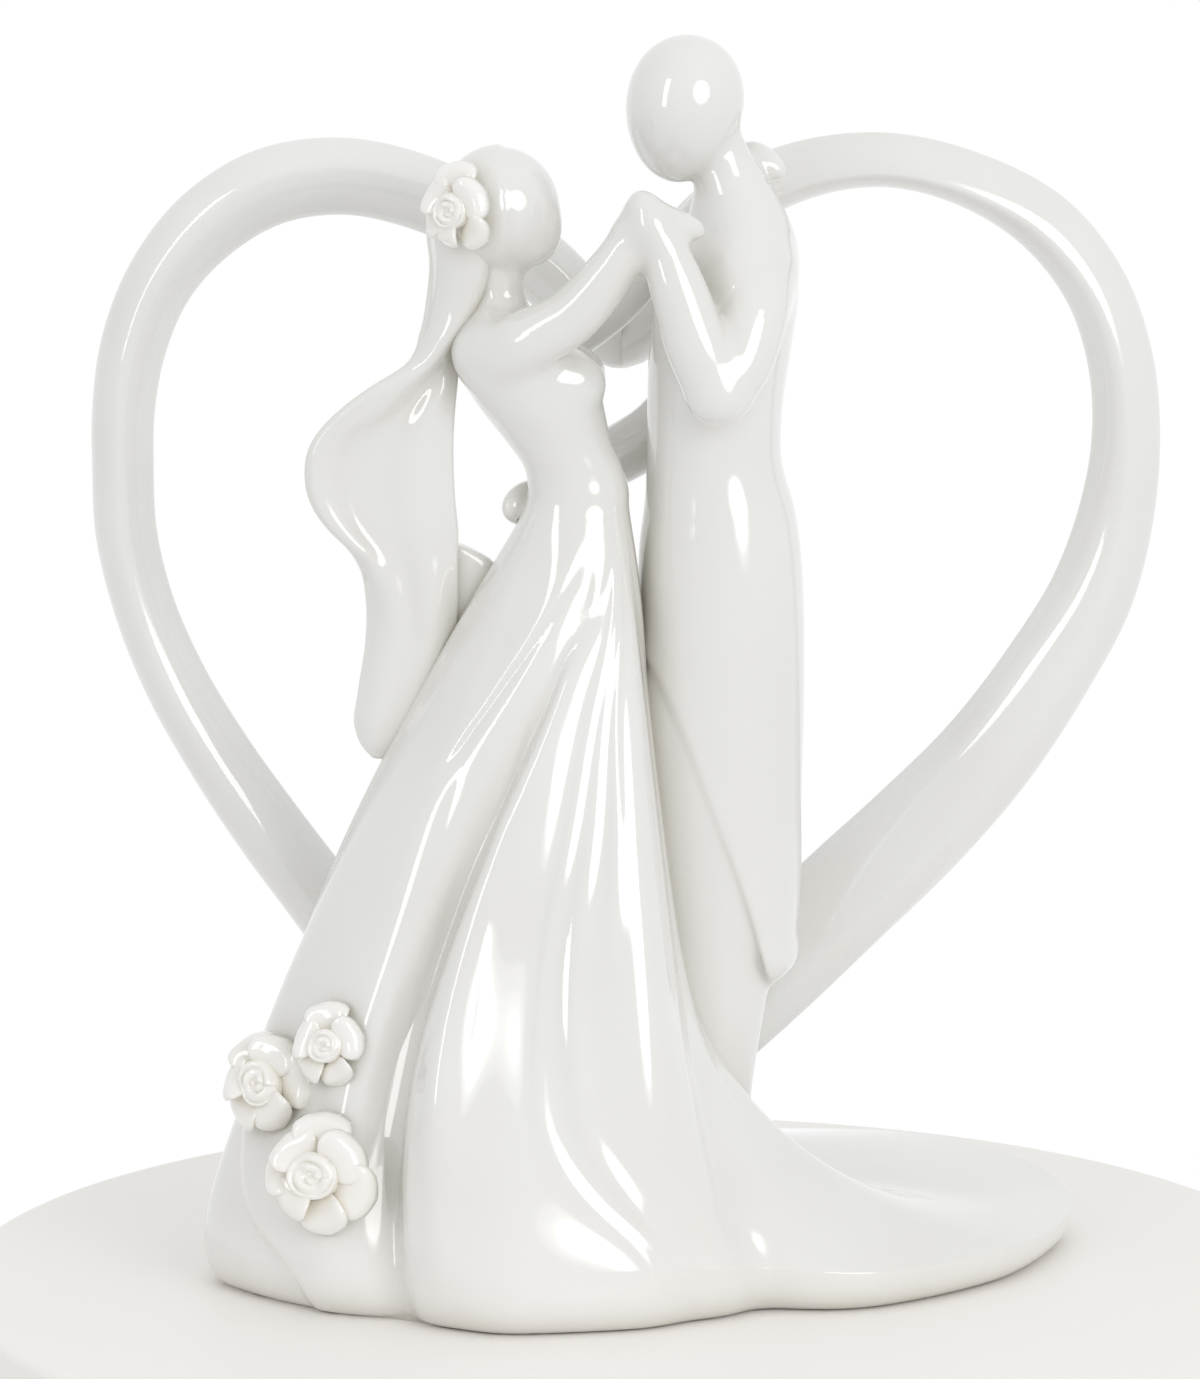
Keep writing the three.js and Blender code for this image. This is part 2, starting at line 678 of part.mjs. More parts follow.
// Petal number k of a ring of count petals: a cupped leaf that springs from the bud.
function petal(frame, radius, count, k, grow) {
  const turn = 2 * Math.PI * k / count;
  const out = new THREE.Vector3(Math.cos(turn), Math.sin(turn), 0);
  const cross = new THREE.Vector3(-out.y, out.x, 0);
  const root = radius * petalRoot;
  const sector = Math.PI / count;
  const rings = [];
  for (let row = 0; row <= petalRows; row++) {
    const along = row / petalRows;
    const distance = root + (radius - root) * along + endShift(row, petalRows, grow);
    const towardsTip = Math.max(0, 1 - (1 - along) / petalTip);
    const taper = Math.sqrt(1 - petalPinch * towardsTip ** 2);
    const half = (distance * Math.tan(sector) - jointGap / 2 / Math.cos(sector)) * taper + grow;
    const rise = petalFoot + petalCrest * Math.sin(Math.PI * petalCurl * along);
    const top = [];
    const under = [];
    for (let i = 0; i <= petalSide; i++) {
      const across = 2 * i / petalSide - 1;
      const lift = radius * (rise + petalCup * across * across);
      const foot = out.clone().multiplyScalar(distance).addScaledVector(cross, half * across);
      top.push(foot.clone().setZ(lift + grow).applyMatrix4(frame));
      under.unshift(foot.clone().setZ(lift - petalThickness - grow).applyMatrix4(frame));
    }
    rings.push([...top, ...under]);
  }
  return skin(rings);
}

function flower(name, frame, { radius, petals }, neighbours) {
  const made = [];
  const add = (piece, make) => {
    place(`${name}_${piece}`, make, [...neighbours, ...made], rosePorcelain);
    made.push(`${name}_${piece}`);
  };
  add('bud', (grow) => bud(frame, radius, grow));
  for (let k = 0; k < petals; k++) {
    add(`petal_${k + 1}`, (grow) => petal(frame, radius, petals, k, grow));
  }
  return made;
}

function frameAt(point, normal) {
  const turn = new THREE.Quaternion().setFromUnitVectors(new THREE.Vector3(0, 0, 1), normal.normalize());
  return new THREE.Matrix4().compose(point, turn, new THREE.Vector3(1, 1, 1));
}

function gownFrame({ line, height }) {
  const point = gownSurface(line, height);
  const along = gownSurface(line + slopeLine, height).sub(gownSurface(line - slopeLine, height));
  const up = gownSurface(line, height + slopeHeight).sub(point);
  return frameAt(point, along.cross(up));
}

const upperPieces = flower('rose_upper', gownFrame(roseUpper), roseUpper, ['gown_skirt']);
const leftPieces = flower('rose_left', gownFrame(roseLeft), roseLeft, ['gown_skirt', ...upperPieces]);
flower('rose_lower', gownFrame(roseLower), roseLower, ['gown_skirt', ...upperPieces, ...leftPieces]);

const bearing = vector(hairFlower.bearing).normalize();
const capReach = new THREE.Vector3(brideHeadHalfWidth, brideHeadHalfDepth, brideHeadHalfHeight)
  .addScalar(jointGap + veilThickness);
const hairSpot = vector(fromWaist(brideHeadPlace)).add(bearing.clone().multiply(capReach));
flower('hair_flower', frameAt(hairSpot, bearing), hairFlower,
  ['bridal_veil', 'bride_head', 'bride_right_arm']);

export default topper;
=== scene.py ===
# Wedding cake topper in white glazed porcelain: a bride and a groom dance in front of an open heart.
# Lengths here are millimetres in the part's own frame, +Z up and the front towards -Y.

import math

import bmesh
import bpy
import numpy as np
import openvdb
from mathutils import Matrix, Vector


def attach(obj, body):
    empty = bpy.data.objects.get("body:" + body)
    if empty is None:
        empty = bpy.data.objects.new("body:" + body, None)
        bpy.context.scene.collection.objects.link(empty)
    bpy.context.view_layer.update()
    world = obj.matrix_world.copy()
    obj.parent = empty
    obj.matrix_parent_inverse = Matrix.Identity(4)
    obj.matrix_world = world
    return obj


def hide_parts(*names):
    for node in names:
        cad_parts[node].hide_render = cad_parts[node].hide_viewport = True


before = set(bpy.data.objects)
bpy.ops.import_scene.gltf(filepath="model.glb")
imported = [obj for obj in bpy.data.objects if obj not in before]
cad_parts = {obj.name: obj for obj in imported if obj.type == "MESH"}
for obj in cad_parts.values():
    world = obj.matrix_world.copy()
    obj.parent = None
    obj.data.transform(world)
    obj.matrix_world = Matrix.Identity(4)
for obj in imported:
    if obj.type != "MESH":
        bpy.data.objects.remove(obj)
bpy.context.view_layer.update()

MM = 0.001


# Camera
# A long lens looks a little down on the topper, from a step to the left of its middle line.

camera_place = (-3.2, -918, 233)
camera_pitch = 9.9
lens = 199.4
film_height = 36
near_clip, far_clip = 0.05, 20

camera = bpy.data.objects.new("camera", bpy.data.cameras.new("camera"))
camera.data.sensor_fit = "VERTICAL"
camera.data.sensor_height = film_height
camera.data.lens = lens
camera.data.clip_start = near_clip
camera.data.clip_end = far_clip
camera.location = Vector(camera_place) * MM
camera.rotation_euler = (math.radians(90 - camera_pitch), 0, 0)
bpy.context.collection.objects.link(camera)
bpy.context.scene.camera = camera
bpy.context.scene.view_settings.view_transform = "Standard"


# Studio
# A round pale table top under a white sky. A tall strip box stands on the left, a round umbrella on the
# right, and a large box hangs above. The rim and the sheens show in the glaze and light nothing else.

table_radius, table_thickness = 84.5, 4
table_round, table_round_steps = 1.5, 5
table_sides = 160
table_middle = (1.5, 0)
table_colour = (0.985, 0.962, 0.937, 1)
table_roughness = 0.55
grain_scale, grain_strength, grain_depth = 240, 0.05, 0.5
sky_light, sky_seen = 0.73, 1
figure_middle = (0, 0, 80)

sky = bpy.data.worlds.new("white_sky")
sky.use_nodes = True
bpy.context.scene.world = sky
sky_nodes = sky.node_tree.nodes
sky_link = sky.node_tree.links.new
light_path = sky_nodes.new("ShaderNodeLightPath")
seen = sky_nodes.new("ShaderNodeMath")
seen.operation = "MAXIMUM"
seen_too = sky_nodes.new("ShaderNodeMath")
seen_too.operation = "MAXIMUM"
strength = sky_nodes.new("ShaderNodeMapRange")
strength.inputs["To Min"].default_value = sky_light
strength.inputs["To Max"].default_value = sky_seen
sky_link(light_path.outputs["Is Camera Ray"], seen.inputs[0])
sky_link(light_path.outputs["Is Glossy Ray"], seen.inputs[1])
sky_link(seen.outputs[0], seen_too.inputs[0])
sky_link(light_path.outputs["Is Transmission Ray"], seen_too.inputs[1])
sky_link(seen_too.outputs[0], strength.inputs["Value"])
sky_link(strength.outputs["Result"], sky_nodes["Background"].inputs["Strength"])
sky_nodes["Background"].inputs["Color"].default_value = (1, 1, 1, 1)


def soft_box(name, place, target, width, height, watts, shape="RECTANGLE", mirrored=True, lighting=True):
    """An area lamp that may be left out of the reflections, or show in them alone."""
    lamp = bpy.data.lights.new(name, "AREA")
    lamp.shape = shape
    lamp.size = width * MM
    lamp.size_y = height * MM
    lamp.energy = watts
    box = bpy.data.objects.new(name, lamp)
    box.location = Vector(place) * MM
    box.rotation_euler = (Vector(target) - Vector(place)).to_track_quat("-Z", "Y").to_euler()
    box.visible_glossy = mirrored
    box.visible_diffuse = lighting
    bpy.context.collection.objects.link(box)


soft_box("left_strip", (-660, -690, 440), figure_middle, 170, 700, 0.5)
soft_box("left_strip_sheen", (-657, -687, 439), figure_middle, 166, 690, 1.1, lighting=False)
soft_box("umbrella_rim", (500, -760, 390), figure_middle, 650, 650, 1.0, "ELLIPSE", lighting=False)
soft_box("umbrella_sheen", (498, -757, 389), figure_middle, 590, 590, 0.8, "ELLIPSE", lighting=False)
soft_box("umbrella_heart", (496, -754, 388), figure_middle, 560, 560, 1.9, "ELLIPSE")
soft_box("top_box", (-60, -60, 820), (0, 0, 60), 460, 360, 0.35, mirrored=False)

table_profile = [(0, 0), (table_radius - table_round, 0)]
for bend in np.linspace(0, math.pi / 2, table_round_steps + 1)[1:]:
    inset = table_round * (1 - math.sin(bend))
    drop = table_round * (1 - math.cos(bend))
    table_profile.append((table_radius - inset, -drop))
table_profile += [(table_radius, -table_thickness), (0, -table_thickness)]
table_mesh = bmesh.new()
rim = [table_mesh.verts.new(Vector((radius, 0, height)) * MM) for radius, height in table_profile]
rim_edges = [table_mesh.edges.new(pair) for pair in zip(rim[:-1], rim[1:])]
bmesh.ops.spin(table_mesh, geom=rim + rim_edges, axis=(0, 0, 1), cent=(0, 0, 0), steps=table_sides,
               angle=2 * math.pi, use_merge=True)
bmesh.ops.remove_doubles(table_mesh, verts=table_mesh.verts, dist=1e-6)
bmesh.ops.recalc_face_normals(table_mesh, faces=table_mesh.faces)
table_data = bpy.data.meshes.new("table_top")
table_mesh.to_mesh(table_data)
table_mesh.free()
table = bpy.data.objects.new("table_top", table_data)
table.location = Vector((*table_middle, 0)) * MM
bpy.context.collection.objects.link(table)

table_paint = bpy.data.materials.new("table_paint")
table_paint.use_nodes = True
paint_nodes = table_paint.node_tree.nodes
paint_link = table_paint.node_tree.links.new
paint = paint_nodes["Principled BSDF"]
paint.inputs["Base Color"].default_value = table_colour
paint.inputs["Roughness"].default_value = table_roughness
grain = paint_nodes.new("ShaderNodeTexNoise")
grain.inputs["Scale"].default_value = grain_scale
grain_height = paint_nodes.new("ShaderNodeBump")
grain_height.inputs["Strength"].default_value = grain_strength
grain_height.inputs["Distance"].default_value = grain_depth * MM
paint_link(grain.outputs["Fac"], grain_height.inputs["Height"])
paint_link(grain_height.outputs["Normal"], paint.inputs["Normal"])
table.data.materials.append(table_paint)


# Glaze
# Porcelain is fired with a clear glaze that runs a little: it ripples faintly, holds a few specks and
# pools a warmer tint in the creases, where the colour is also darkened as painted shade. Every casting and
# every flower is dipped in it.

glaze_index, glaze_coat, glaze_coat_roughness = 1.5, 0.6, 0.03
# Reach and samples of the occlusion that paints shade into creases, hollows and joints
crease_shade_depth, crease_shade_samples = 5, 6
ripple_strength = 0.25


def new_node(tree, kind, **values):
    """A node with its sockets set by name."""
    node = tree.nodes.new(kind)
    for socket, value in values.items():
        node.inputs[socket.replace("_", " ")].default_value = value
    return node


glaze_flow_and_crease_shade = bpy.data.node_groups.new("glaze_flow_and_crease_shade", "ShaderNodeTree")
for socket in ("Body Color", "Pool And Shade Color"):
    glaze_flow_and_crease_shade.interface.new_socket(socket, in_out="INPUT", socket_type="NodeSocketColor")
glaze_flow_and_crease_shade.interface.new_socket("Color", in_out="OUTPUT", socket_type="NodeSocketColor")
for socket in ("Roughness", "Height"):
    glaze_flow_and_crease_shade.interface.new_socket(socket, in_out="OUTPUT", socket_type="NodeSocketFloat")
flow_link = glaze_flow_and_crease_shade.links.new
flow_in = glaze_flow_and_crease_shade.nodes.new("NodeGroupInput")
flow_out = glaze_flow_and_crease_shade.nodes.new("NodeGroupOutput")
surface = glaze_flow_and_crease_shade.nodes.new("ShaderNodeTexCoord")
cloud = new_node(glaze_flow_and_crease_shade, "ShaderNodeTexNoise", Scale=38.0, Detail=2.0, Roughness=0.5)
ripple = new_node(glaze_flow_and_crease_shade, "ShaderNodeTexNoise", Scale=130.0, Detail=1.0, Roughness=0.4)
specks = new_node(glaze_flow_and_crease_shade, "ShaderNodeTexVoronoi", Scale=260.0)
# Occlusion turns the colour towards the pool colour: partly a warmer glaze pool, partly painted shade in
# creases
crease_shade = new_node(glaze_flow_and_crease_shade, "ShaderNodeAmbientOcclusion", Distance=crease_shade_depth * MM)
crease_shade.samples = crease_shade_samples
for texture in (cloud, ripple, specks):
    flow_link(surface.outputs["Object"], texture.inputs["Vector"])
pool_and_shade = new_node(glaze_flow_and_crease_shade, "ShaderNodeMapRange", From_Min=0.25, From_Max=0.95, To_Min=0.8, To_Max=0.0)
flow_link(crease_shade.outputs["AO"], pool_and_shade.inputs["Value"])
drift = new_node(glaze_flow_and_crease_shade, "ShaderNodeMapRange", From_Min=0.35, From_Max=0.7, To_Min=0.0, To_Max=0.25)
flow_link(cloud.outputs["Fac"], drift.inputs["Value"])
depth = glaze_flow_and_crease_shade.nodes.new("ShaderNodeMath")
depth.operation = "ADD"
depth.use_clamp = True
flow_link(pool_and_shade.outputs["Result"], depth.inputs[0])
flow_link(drift.outputs["Result"], depth.inputs[1])
tint = glaze_flow_and_crease_shade.nodes.new("ShaderNodeMix")
tint.data_type = "RGBA"
flow_link(depth.outputs[0], tint.inputs["Factor"])
flow_link(flow_in.outputs["Body Color"], tint.inputs["A"])
flow_link(flow_in.outputs["Pool And Shade Color"], tint.inputs["B"])
pinhole = new_node(glaze_flow_and_crease_shade, "ShaderNodeMapRange", From_Min=0.02, From_Max=0.05, To_Min=1.0, To_Max=0.0)
flow_link(specks.outputs["Distance"], pinhole.inputs["Value"])
gloss = new_node(glaze_flow_and_crease_shade, "ShaderNodeMapRange", From_Min=0.3, From_Max=0.7, To_Min=0.05, To_Max=0.09)
flow_link(ripple.outputs["Fac"], gloss.inputs["Value"])
height = glaze_flow_and_crease_shade.nodes.new("ShaderNodeMath")
height.operation = "SUBTRACT"
flow_link(ripple.outputs["Fac"], height.inputs[0])
flow_link(pinhole.outputs["Result"], height.inputs[1])
flow_link(tint.outputs["Result"], flow_out.inputs["Color"])
flow_link(gloss.outputs["Result"], flow_out.inputs["Roughness"])
flow_link(height.outputs[0], flow_out.inputs["Height"])


def glazed(name, body_colour, pool_and_shade_colour, ripple_height):
    """A porcelain material: the clay's colour under the running glaze, pooled warmer and painted darker as
    shade in the creases, with a clear coat.
    """
    material = bpy.data.materials.new(name)
    material.use_nodes = True
    tree = material.node_tree
    shader = tree.nodes["Principled BSDF"]
    flow = tree.nodes.new("ShaderNodeGroup")
    flow.node_tree = glaze_flow_and_crease_shade
    flow.inputs["Body Color"].default_value = body_colour
    flow.inputs["Pool And Shade Color"].default_value = pool_and_shade_colour
    bump = new_node(tree, "ShaderNodeBump", Strength=ripple_strength, Distance=ripple_height * MM)
    tree.links.new(flow.outputs["Height"], bump.inputs["Height"])
    tree.links.new(flow.outputs["Color"], shader.inputs["Base Color"])
    tree.links.new(flow.outputs["Roughness"], shader.inputs["Roughness"])
    tree.links.new(bump.outputs["Normal"], shader.inputs["Normal"])
    shader.inputs["IOR"].default_value = glaze_index
    shader.inputs["Coat Weight"].default_value = glaze_coat
    shader.inputs["Coat Roughness"].default_value = glaze_coat_roughness
    shader.inputs["Coat IOR"].default_value = glaze_index
    return material


porcelain_colour = (0.86, 0.857, 0.838, 1)
# Colour in the creases: warmer where the glaze pools, and darker as painted shade
porcelain_pool_and_shade = (0.7, 0.68, 0.62, 1)
porcelain_ripple = 0.02
porcelain = glazed("glazed_porcelain", porcelain_colour, porcelain_pool_and_shade, porcelain_ripple)


# Gown
# The skirt is one hollow slip casting, pressed with pleats that fan from the hip on the groom's side. Its
# train lies on the floor as a shallow dish with a raised lip behind. The foot is open, the hem curled under.

def through(rows, at):
    """Smooth curve through rows of (position, values...), read at the given positions."""
    rows = np.asarray(rows, float)
    knots, values = rows[:, 0], rows[:, 1:]
    slopes = np.gradient(values, knots, axis=0)
    at = np.clip(np.asarray(at, float), knots[0], knots[-1])
    span = np.clip(np.searchsorted(knots, at, "right") - 1, 0, len(knots) - 2)
    width = (knots[span + 1] - knots[span])[..., None]
    t = (at - knots[span])[..., None] / width
    return ((1 + 2 * t) * (1 - t) ** 2 * values[span] + t * (1 - t) ** 2 * width * slopes[span]
            + t * t * (3 - 2 * t) * values[span + 1] + t * t * (t - 1) * width * slopes[span + 1])


def round_through(points, at):
    """Smooth closed curve through the points, read at positions counted in points."""
    points = np.asarray(points, float)
    at = np.asarray(at, float)
    first = np.floor(at).astype(int)
    t = (at - first)[..., None]
    a, b, c, d = (points[(first + step) % len(points)] for step in (-1, 0, 1, 2))
    return 0.5 * (2 * b + (c - a) * t + (2 * a - 5 * b + 4 * c - d) * t ** 2
                  + (3 * b - a - 3 * c + d) * t ** 3)


def ring_faces(rows, columns):
    """Quads of a tube of rings, and the two fans that close its ends on the last two points."""
    row, column = np.meshgrid(np.arange(rows - 1), np.arange(columns), indexing="ij")
    here = (row * columns + column).ravel()
    side = (row * columns + (column + 1) % columns).ravel()
    quads = np.stack([here, side, side + columns, here + columns], 1)
    around = np.arange(columns)
    after = (around + 1) % columns
    last = (rows - 1) * columns
    first_fan = np.stack([after, around, np.full(columns, rows * columns)], 1)
    last_fan = np.stack([last + around, last + after, np.full(columns, rows * columns + 1)], 1)
    return quads.tolist() + first_fan.tolist() + last_fan.tolist()


def tube(rings):
    """Points and faces of a closed skin over an array of rings, shaped (rows, columns, 3)."""
    rows, columns, _ = rings.shape
    ends = np.stack([rings[0].mean(0), rings[-1].mean(0)])
    return np.concatenate([rings.reshape(-1, 3), ends]), ring_faces(rows, columns)


def solid_mesh(name, points, faces, material, normals=None):
    """A mesh object from points in millimetres, shaded smooth and turned to face outwards."""
    mesh = bpy.data.meshes.new(name)
    mesh.from_pydata((np.asarray(points) * MM).tolist(), [], faces)
    mesh.update()
    if normals is None:
        work = bmesh.new()
        work.from_mesh(mesh)
        bmesh.ops.recalc_face_normals(work, faces=work.faces)
        work.to_mesh(mesh)
        work.free()
    mesh.shade_smooth()
    if normals is not None:
        mesh.normals_split_custom_set_from_vertices(np.asarray(normals).tolist())
    mesh.materials.append(material)
    piece = bpy.data.objects.new(name, mesh)
    bpy.context.collection.objects.link(piece)
    return piece


waist_x, waist_y, waist_height = -5.8, -4, 98
waist_half_width, waist_half_depth = 6.1, 5.4
hem_x, hem_y = -16, -4
bell_edge, train_edge = 8, 4
hem_curl, hem_curl_power = 3.5, 2.6
bell_curve = 0.4
waist_ease, hem_ease = 0.03, 0.04
gown_wall, hollow_top = 3.5, 76
bodice_foot, bodice_overlap = 94.6, 1
tuck_run, tuck_share = 1.5, 0.06
gown_columns, gown_rows, edge_rows, hollow_rows, row_crowding = 616, 190, 24, 24, 1.8
line_step = 0.02
# Hem seen from above, from the notch at the train's front anticlockwise: x, y, share that is bell, how late
# the rest spreads into the train, and how much higher the train's lip stands
hem_outline = [
    (17, -24.2, 0.52, 6, 0), (31.5, -21, 0.26, 6, 0), (46, -9, 0.14, 6.5, 0), (53.5, 5, 0.1, 10, 0),
    (56, 18, 0.1, 16, 0.5), (51, 29, 0.11, 18, 2.5), (37, 34.7, 0.14, 18, 4.6), (18, 34.2, 0.22, 16, 5),
    (2, 31.5, 0.42, 12, 4), (-12, 29, 0.75, 8, 2), (-28, 24, 1, 7, 0), (-42, 14, 1, 7, 0), (-50, 4, 1, 7, 0),
    (-52.8, -6, 1, 7, 0), (-47.5, -14.5, 1, 7, 0), (-39, -23, 1, 7, 0), (-33, -26, 1, 7, 0),
    (-27.5, -28.7, 1, 7, 0), (-21.5, -31.6, 1, 7, 0), (-13, -34.6, 1, 7, 0), (2, -32.5, 0.97, 7, 0),
    (10, -28, 0.8, 6, 0),
]
# Pleats: each runs down the gown on a route of (height, line of the hem outline), stands out by
# (height, amount), and has a width to its left and to its right in lines
pleats = {
    "rose_crest": ([(0, 14.6), (18, 14.4), (42, 14.6), (63, 15.2), (75, 16.7), (84, 18), (98, 19)],
                   [(0, 0), (20, 0.2), (36, 0.4), (60, 0.6), (85, 0.4), (95, 0)], 1.2, 1.0),
    "deep_valley": ([(0, 16.9), (7, 16.7), (19, 16.3), (32, 16.2), (45, 16.6), (60, 17.3), (77, 18.7),
                     (90, 19.5)],
                    [(0, -1.8), (8, -3.1), (25, -4.2), (45, -3.1), (62, -1.9), (80, -0.8), (92, 0)],
                    0.6, 0.42),
    "fold_edge": ([(0, 17.3), (12, 17.05), (21, 16.8), (30, 16.75), (42, 17.0), (52, 17.5), (63, 18),
                   (85, 19.6)],
                  [(0, 0), (10, 0.3), (35, 0.4), (60, 0.4), (82, 0.2), (92, 0)], 0.14, 0.3),
    "front_panel": ([(0, 18.3), (15, 17.8), (28, 17.58), (45, 17.68), (60, 18.25), (75, 19), (85, 19.7)],
                    [(0, 0.6), (10, 1.5), (19, 1.9), (27, 2.9), (45, 2.6), (56, 1.0), (67, 0.4), (88, 0)],
                    0.65, 0.75),
    "rib_valley": ([(0, 20.8), (10, 20), (16, 19.5), (24, 19.2), (32, 19.1), (45, 19.05), (59, 19.3),
                    (75, 19.65), (90, 20.4)],
                   [(0, -0.3), (10, -0.8), (18, -1.3), (27, -2.4), (44, -2.4), (55, -1.2), (65, -0.7),
                    (75, -0.5), (88, 0)],
                   0.95, 0.6),
    "first_rib": ([(0, 20.7), (10, 20), (16, 19.55), (24, 19.2), (32, 19.1), (45, 19.1), (59, 19.3),
                   (75, 19.6), (90, 20.3)],
                  [(0, 0), (12, 0.2), (40, 0.3), (60, 0.45), (80, 0.3), (90, 0)], 0.1, 0.12),
    "second_rib": ([(0, 21.1), (10, 20.35), (16, 19.9), (24, 19.55), (32, 19.45), (45, 19.4), (59, 19.55),
                    (75, 19.8), (90, 20.5)],
                   [(0, 0), (12, 0.25), (40, 0.4), (60, 0.5), (80, 0.3), (90, 0)], 0.1, 0.12),
    "third_rib": ([(40, 19.75), (59, 19.85), (75, 20.0), (90, 20.7)],
                  [(40, 0), (52, 0.3), (60, 0.45), (80, 0.3), (90, 0)], 0.1, 0.12),
    "panel_crest": ([(0, 21.9), (12, 21.1), (23, 20.55), (44, 20.3), (60, 20.3), (75, 20.6), (90, 21.2)],
                    [(0, 0), (12, 0.6), (25, 1.4), (60, 1.2), (80, 0.4), (90, 0)], 0.55, 0.8),
    "hip_line": ([(50, 17), (63, 17.65), (76, 18.55), (85, 19.65), (93, 20.3)],
                 [(50, 0), (60, -0.35), (82, -0.4), (93, 0)], 0.16, 0.3),
    "left_hip_line": ([(60, 14.6), (65, 15.2), (75, 16.65), (84, 18.2), (93, 19.4)],
                      [(60, 0), (70, -0.35), (86, -0.35), (93, 0)], 0.2, 0.4),
    "right_hip": ([(60, 1), (96, 1)], [(66, 0), (76, 0.5), (85, 0.9), (91, 0.6), (96, 0)], 1.5, 1.5),
    "hem_notch": ([(0, 22.05), (8, 21.9), (16, 21.4)], [(0, -1.5), (5, -1.1), (16, 0)], 0.3, 0.35),
    "left_fold": ([(0, 14.9), (5, 14.65), (11, 13.95), (19, 13.5), (32, 13.3)],
                  [(0, -0.6), (5, -0.8), (19, -0.7), (32, 0)], 0.5, 0.12),
    "back_valley": ([(0, 11.4), (40, 11.6), (80, 12.4)],
                    [(0, -1.2), (30, -1.6), (70, -0.6), (88, 0)], 0.5, 0.4),
    "back_crest": ([(0, 10.6), (40, 10.9), (80, 11.6)], [(0, 0.4), (30, 1), (70, 0.6), (88, 0)], 0.5, 0.5),
    "seat_valley": ([(0, 9.7), (40, 10), (80, 10.6)], [(0, -0.8), (30, -1.4), (70, -0.6), (88, 0)], 0.4, 0.5),
    "side_valley": ([(0, 12.6), (40, 12.7), (80, 13.6)],
                    [(0, -1), (30, -1.2), (70, -0.5), (88, 0)], 0.35, 0.6),
}


def gown_spread(height, share, lateness, lip):
    """How far the bell and the train have spread at a height, as shares, and the height of the edge."""
    edge = train_edge + (bell_edge - train_edge) * share + lip
    fall = np.clip((waist_height - height) / (waist_height - edge), 0, None)
    soft = np.clip((fall + 1 - np.sqrt((fall - 1) ** 2 + hem_ease ** 2)) / 2, 0, 1)
    soft = (np.sqrt(soft ** 2 + waist_ease ** 2) - waist_ease) / (math.hypot(1, waist_ease) - waist_ease)
    return soft * (1 + bell_curve * (1 - soft)), np.minimum(fall, 1) ** lateness, edge


def gown_point(line, height, train=1.0, pleated=1.0):
    """Points of the gown's outside on lines of the hem outline, at heights."""
    line = np.asarray(line, float)
    height = np.asarray(height, float) + 0 * line
    hem = round_through(hem_outline, line)
    turn = np.arctan2(hem[..., 1] - hem_y, hem[..., 0] - hem_x)
    x = waist_x + waist_half_width * np.cos(turn)
    y = waist_y + waist_half_depth * np.sin(turn)
    bell, trail, edge = gown_spread(height, hem[..., 2], hem[..., 3], hem[..., 4])
    share = hem[..., 2] * bell + train * (1 - hem[..., 2]) * trail
    step = round_through(hem_outline, line + line_step) - round_through(hem_outline, line - line_step)
    reach = np.hypot(step[..., 0], step[..., 1])
    below = np.clip(1 - height / edge, 0, 1)
    push = -hem_curl * (1 - np.sqrt(1 - below ** hem_curl_power))
    count = len(hem_outline)
    for route, amount, left, right in pleats.values():
        offset = (line - through(route, height)[..., 0] + count / 2) % count - count / 2
        width = np.where(offset < 0, left, right)
        push = push + pleated * through(amount, height)[..., 0] * np.exp(-(offset / width) ** 2)
    return np.stack([x + (hem[..., 0] - x) * share + push * step[..., 1] / reach,
                     y + (hem[..., 1] - y) * share - push * step[..., 0] / reach, height], -1)


gown_lines = np.arange(gown_columns) * len(hem_outline) / gown_columns
hem = round_through(hem_outline, gown_lines)
_, _, hem_edge = gown_spread(0, hem[:, 2], hem[:, 3], hem[:, 4])
above_edge = np.linspace(1, 0, gown_rows)[:, None] ** row_crowding
below_edge = np.linspace(1, 0, edge_rows)[1:, None]
gown_rise = waist_height - bodice_overlap - hem_edge
gown_heights = np.concatenate([hem_edge + gown_rise * above_edge, hem_edge * below_edge])
outside = gown_point(gown_lines[None, :], gown_heights)
# Under the bodice the gown draws in a little, so that the bodice covers it
tuck = np.clip((gown_heights - bodice_foot - bodice_overlap) / tuck_run, 0, 1)[..., None] * tuck_share
outside[..., :2] += (np.array((waist_x, waist_y)) - outside[..., :2]) * tuck
# The hollow follows the plain bell, a wall's thickness in, and goes straight down below the edge
hollow_heights = np.linspace(0, hollow_top, hollow_rows)
bell_heights = np.maximum(hollow_heights, bell_edge)
inside = gown_point(gown_lines[None, :], bell_heights[:, None], train=0.0, pleated=0.0)
bell, _, _ = gown_spread(bell_heights, 1, 1, 0)
axis = np.stack([waist_x + (hem_x - waist_x) * bell, waist_y + (hem_y - waist_y) * bell], -1)[:, None]
arm = inside[..., :2] - axis
inside[..., :2] = axis + arm * (1 - gown_wall / np.linalg.norm(arm, axis=-1, keepdims=True))
inside[..., 2] = hollow_heights[:, None]
gown = solid_mesh("gown_skirt", *tube(np.concatenate([outside, inside])), porcelain)
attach(gown, "root")
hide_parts("gown_skirt")


# Couple
# Bride and groom are castings luted together while damp, and the glaze runs over their joints. The forms
# are built as one soft field, so that the surface flows from piece to piece, and parted at the joints.

def soft_union(a, b, softness):
    """Joins two distances with a fillet."""
    mix = np.maximum(softness - np.abs(a - b), 0)
    return np.minimum(a, b) - mix * mix / (4 * softness)


def soft_cut(a, b, softness):
    """Keeps the part of the first distance that lies outside the second, with a rounded edge."""
    return -soft_union(-a, b, softness)


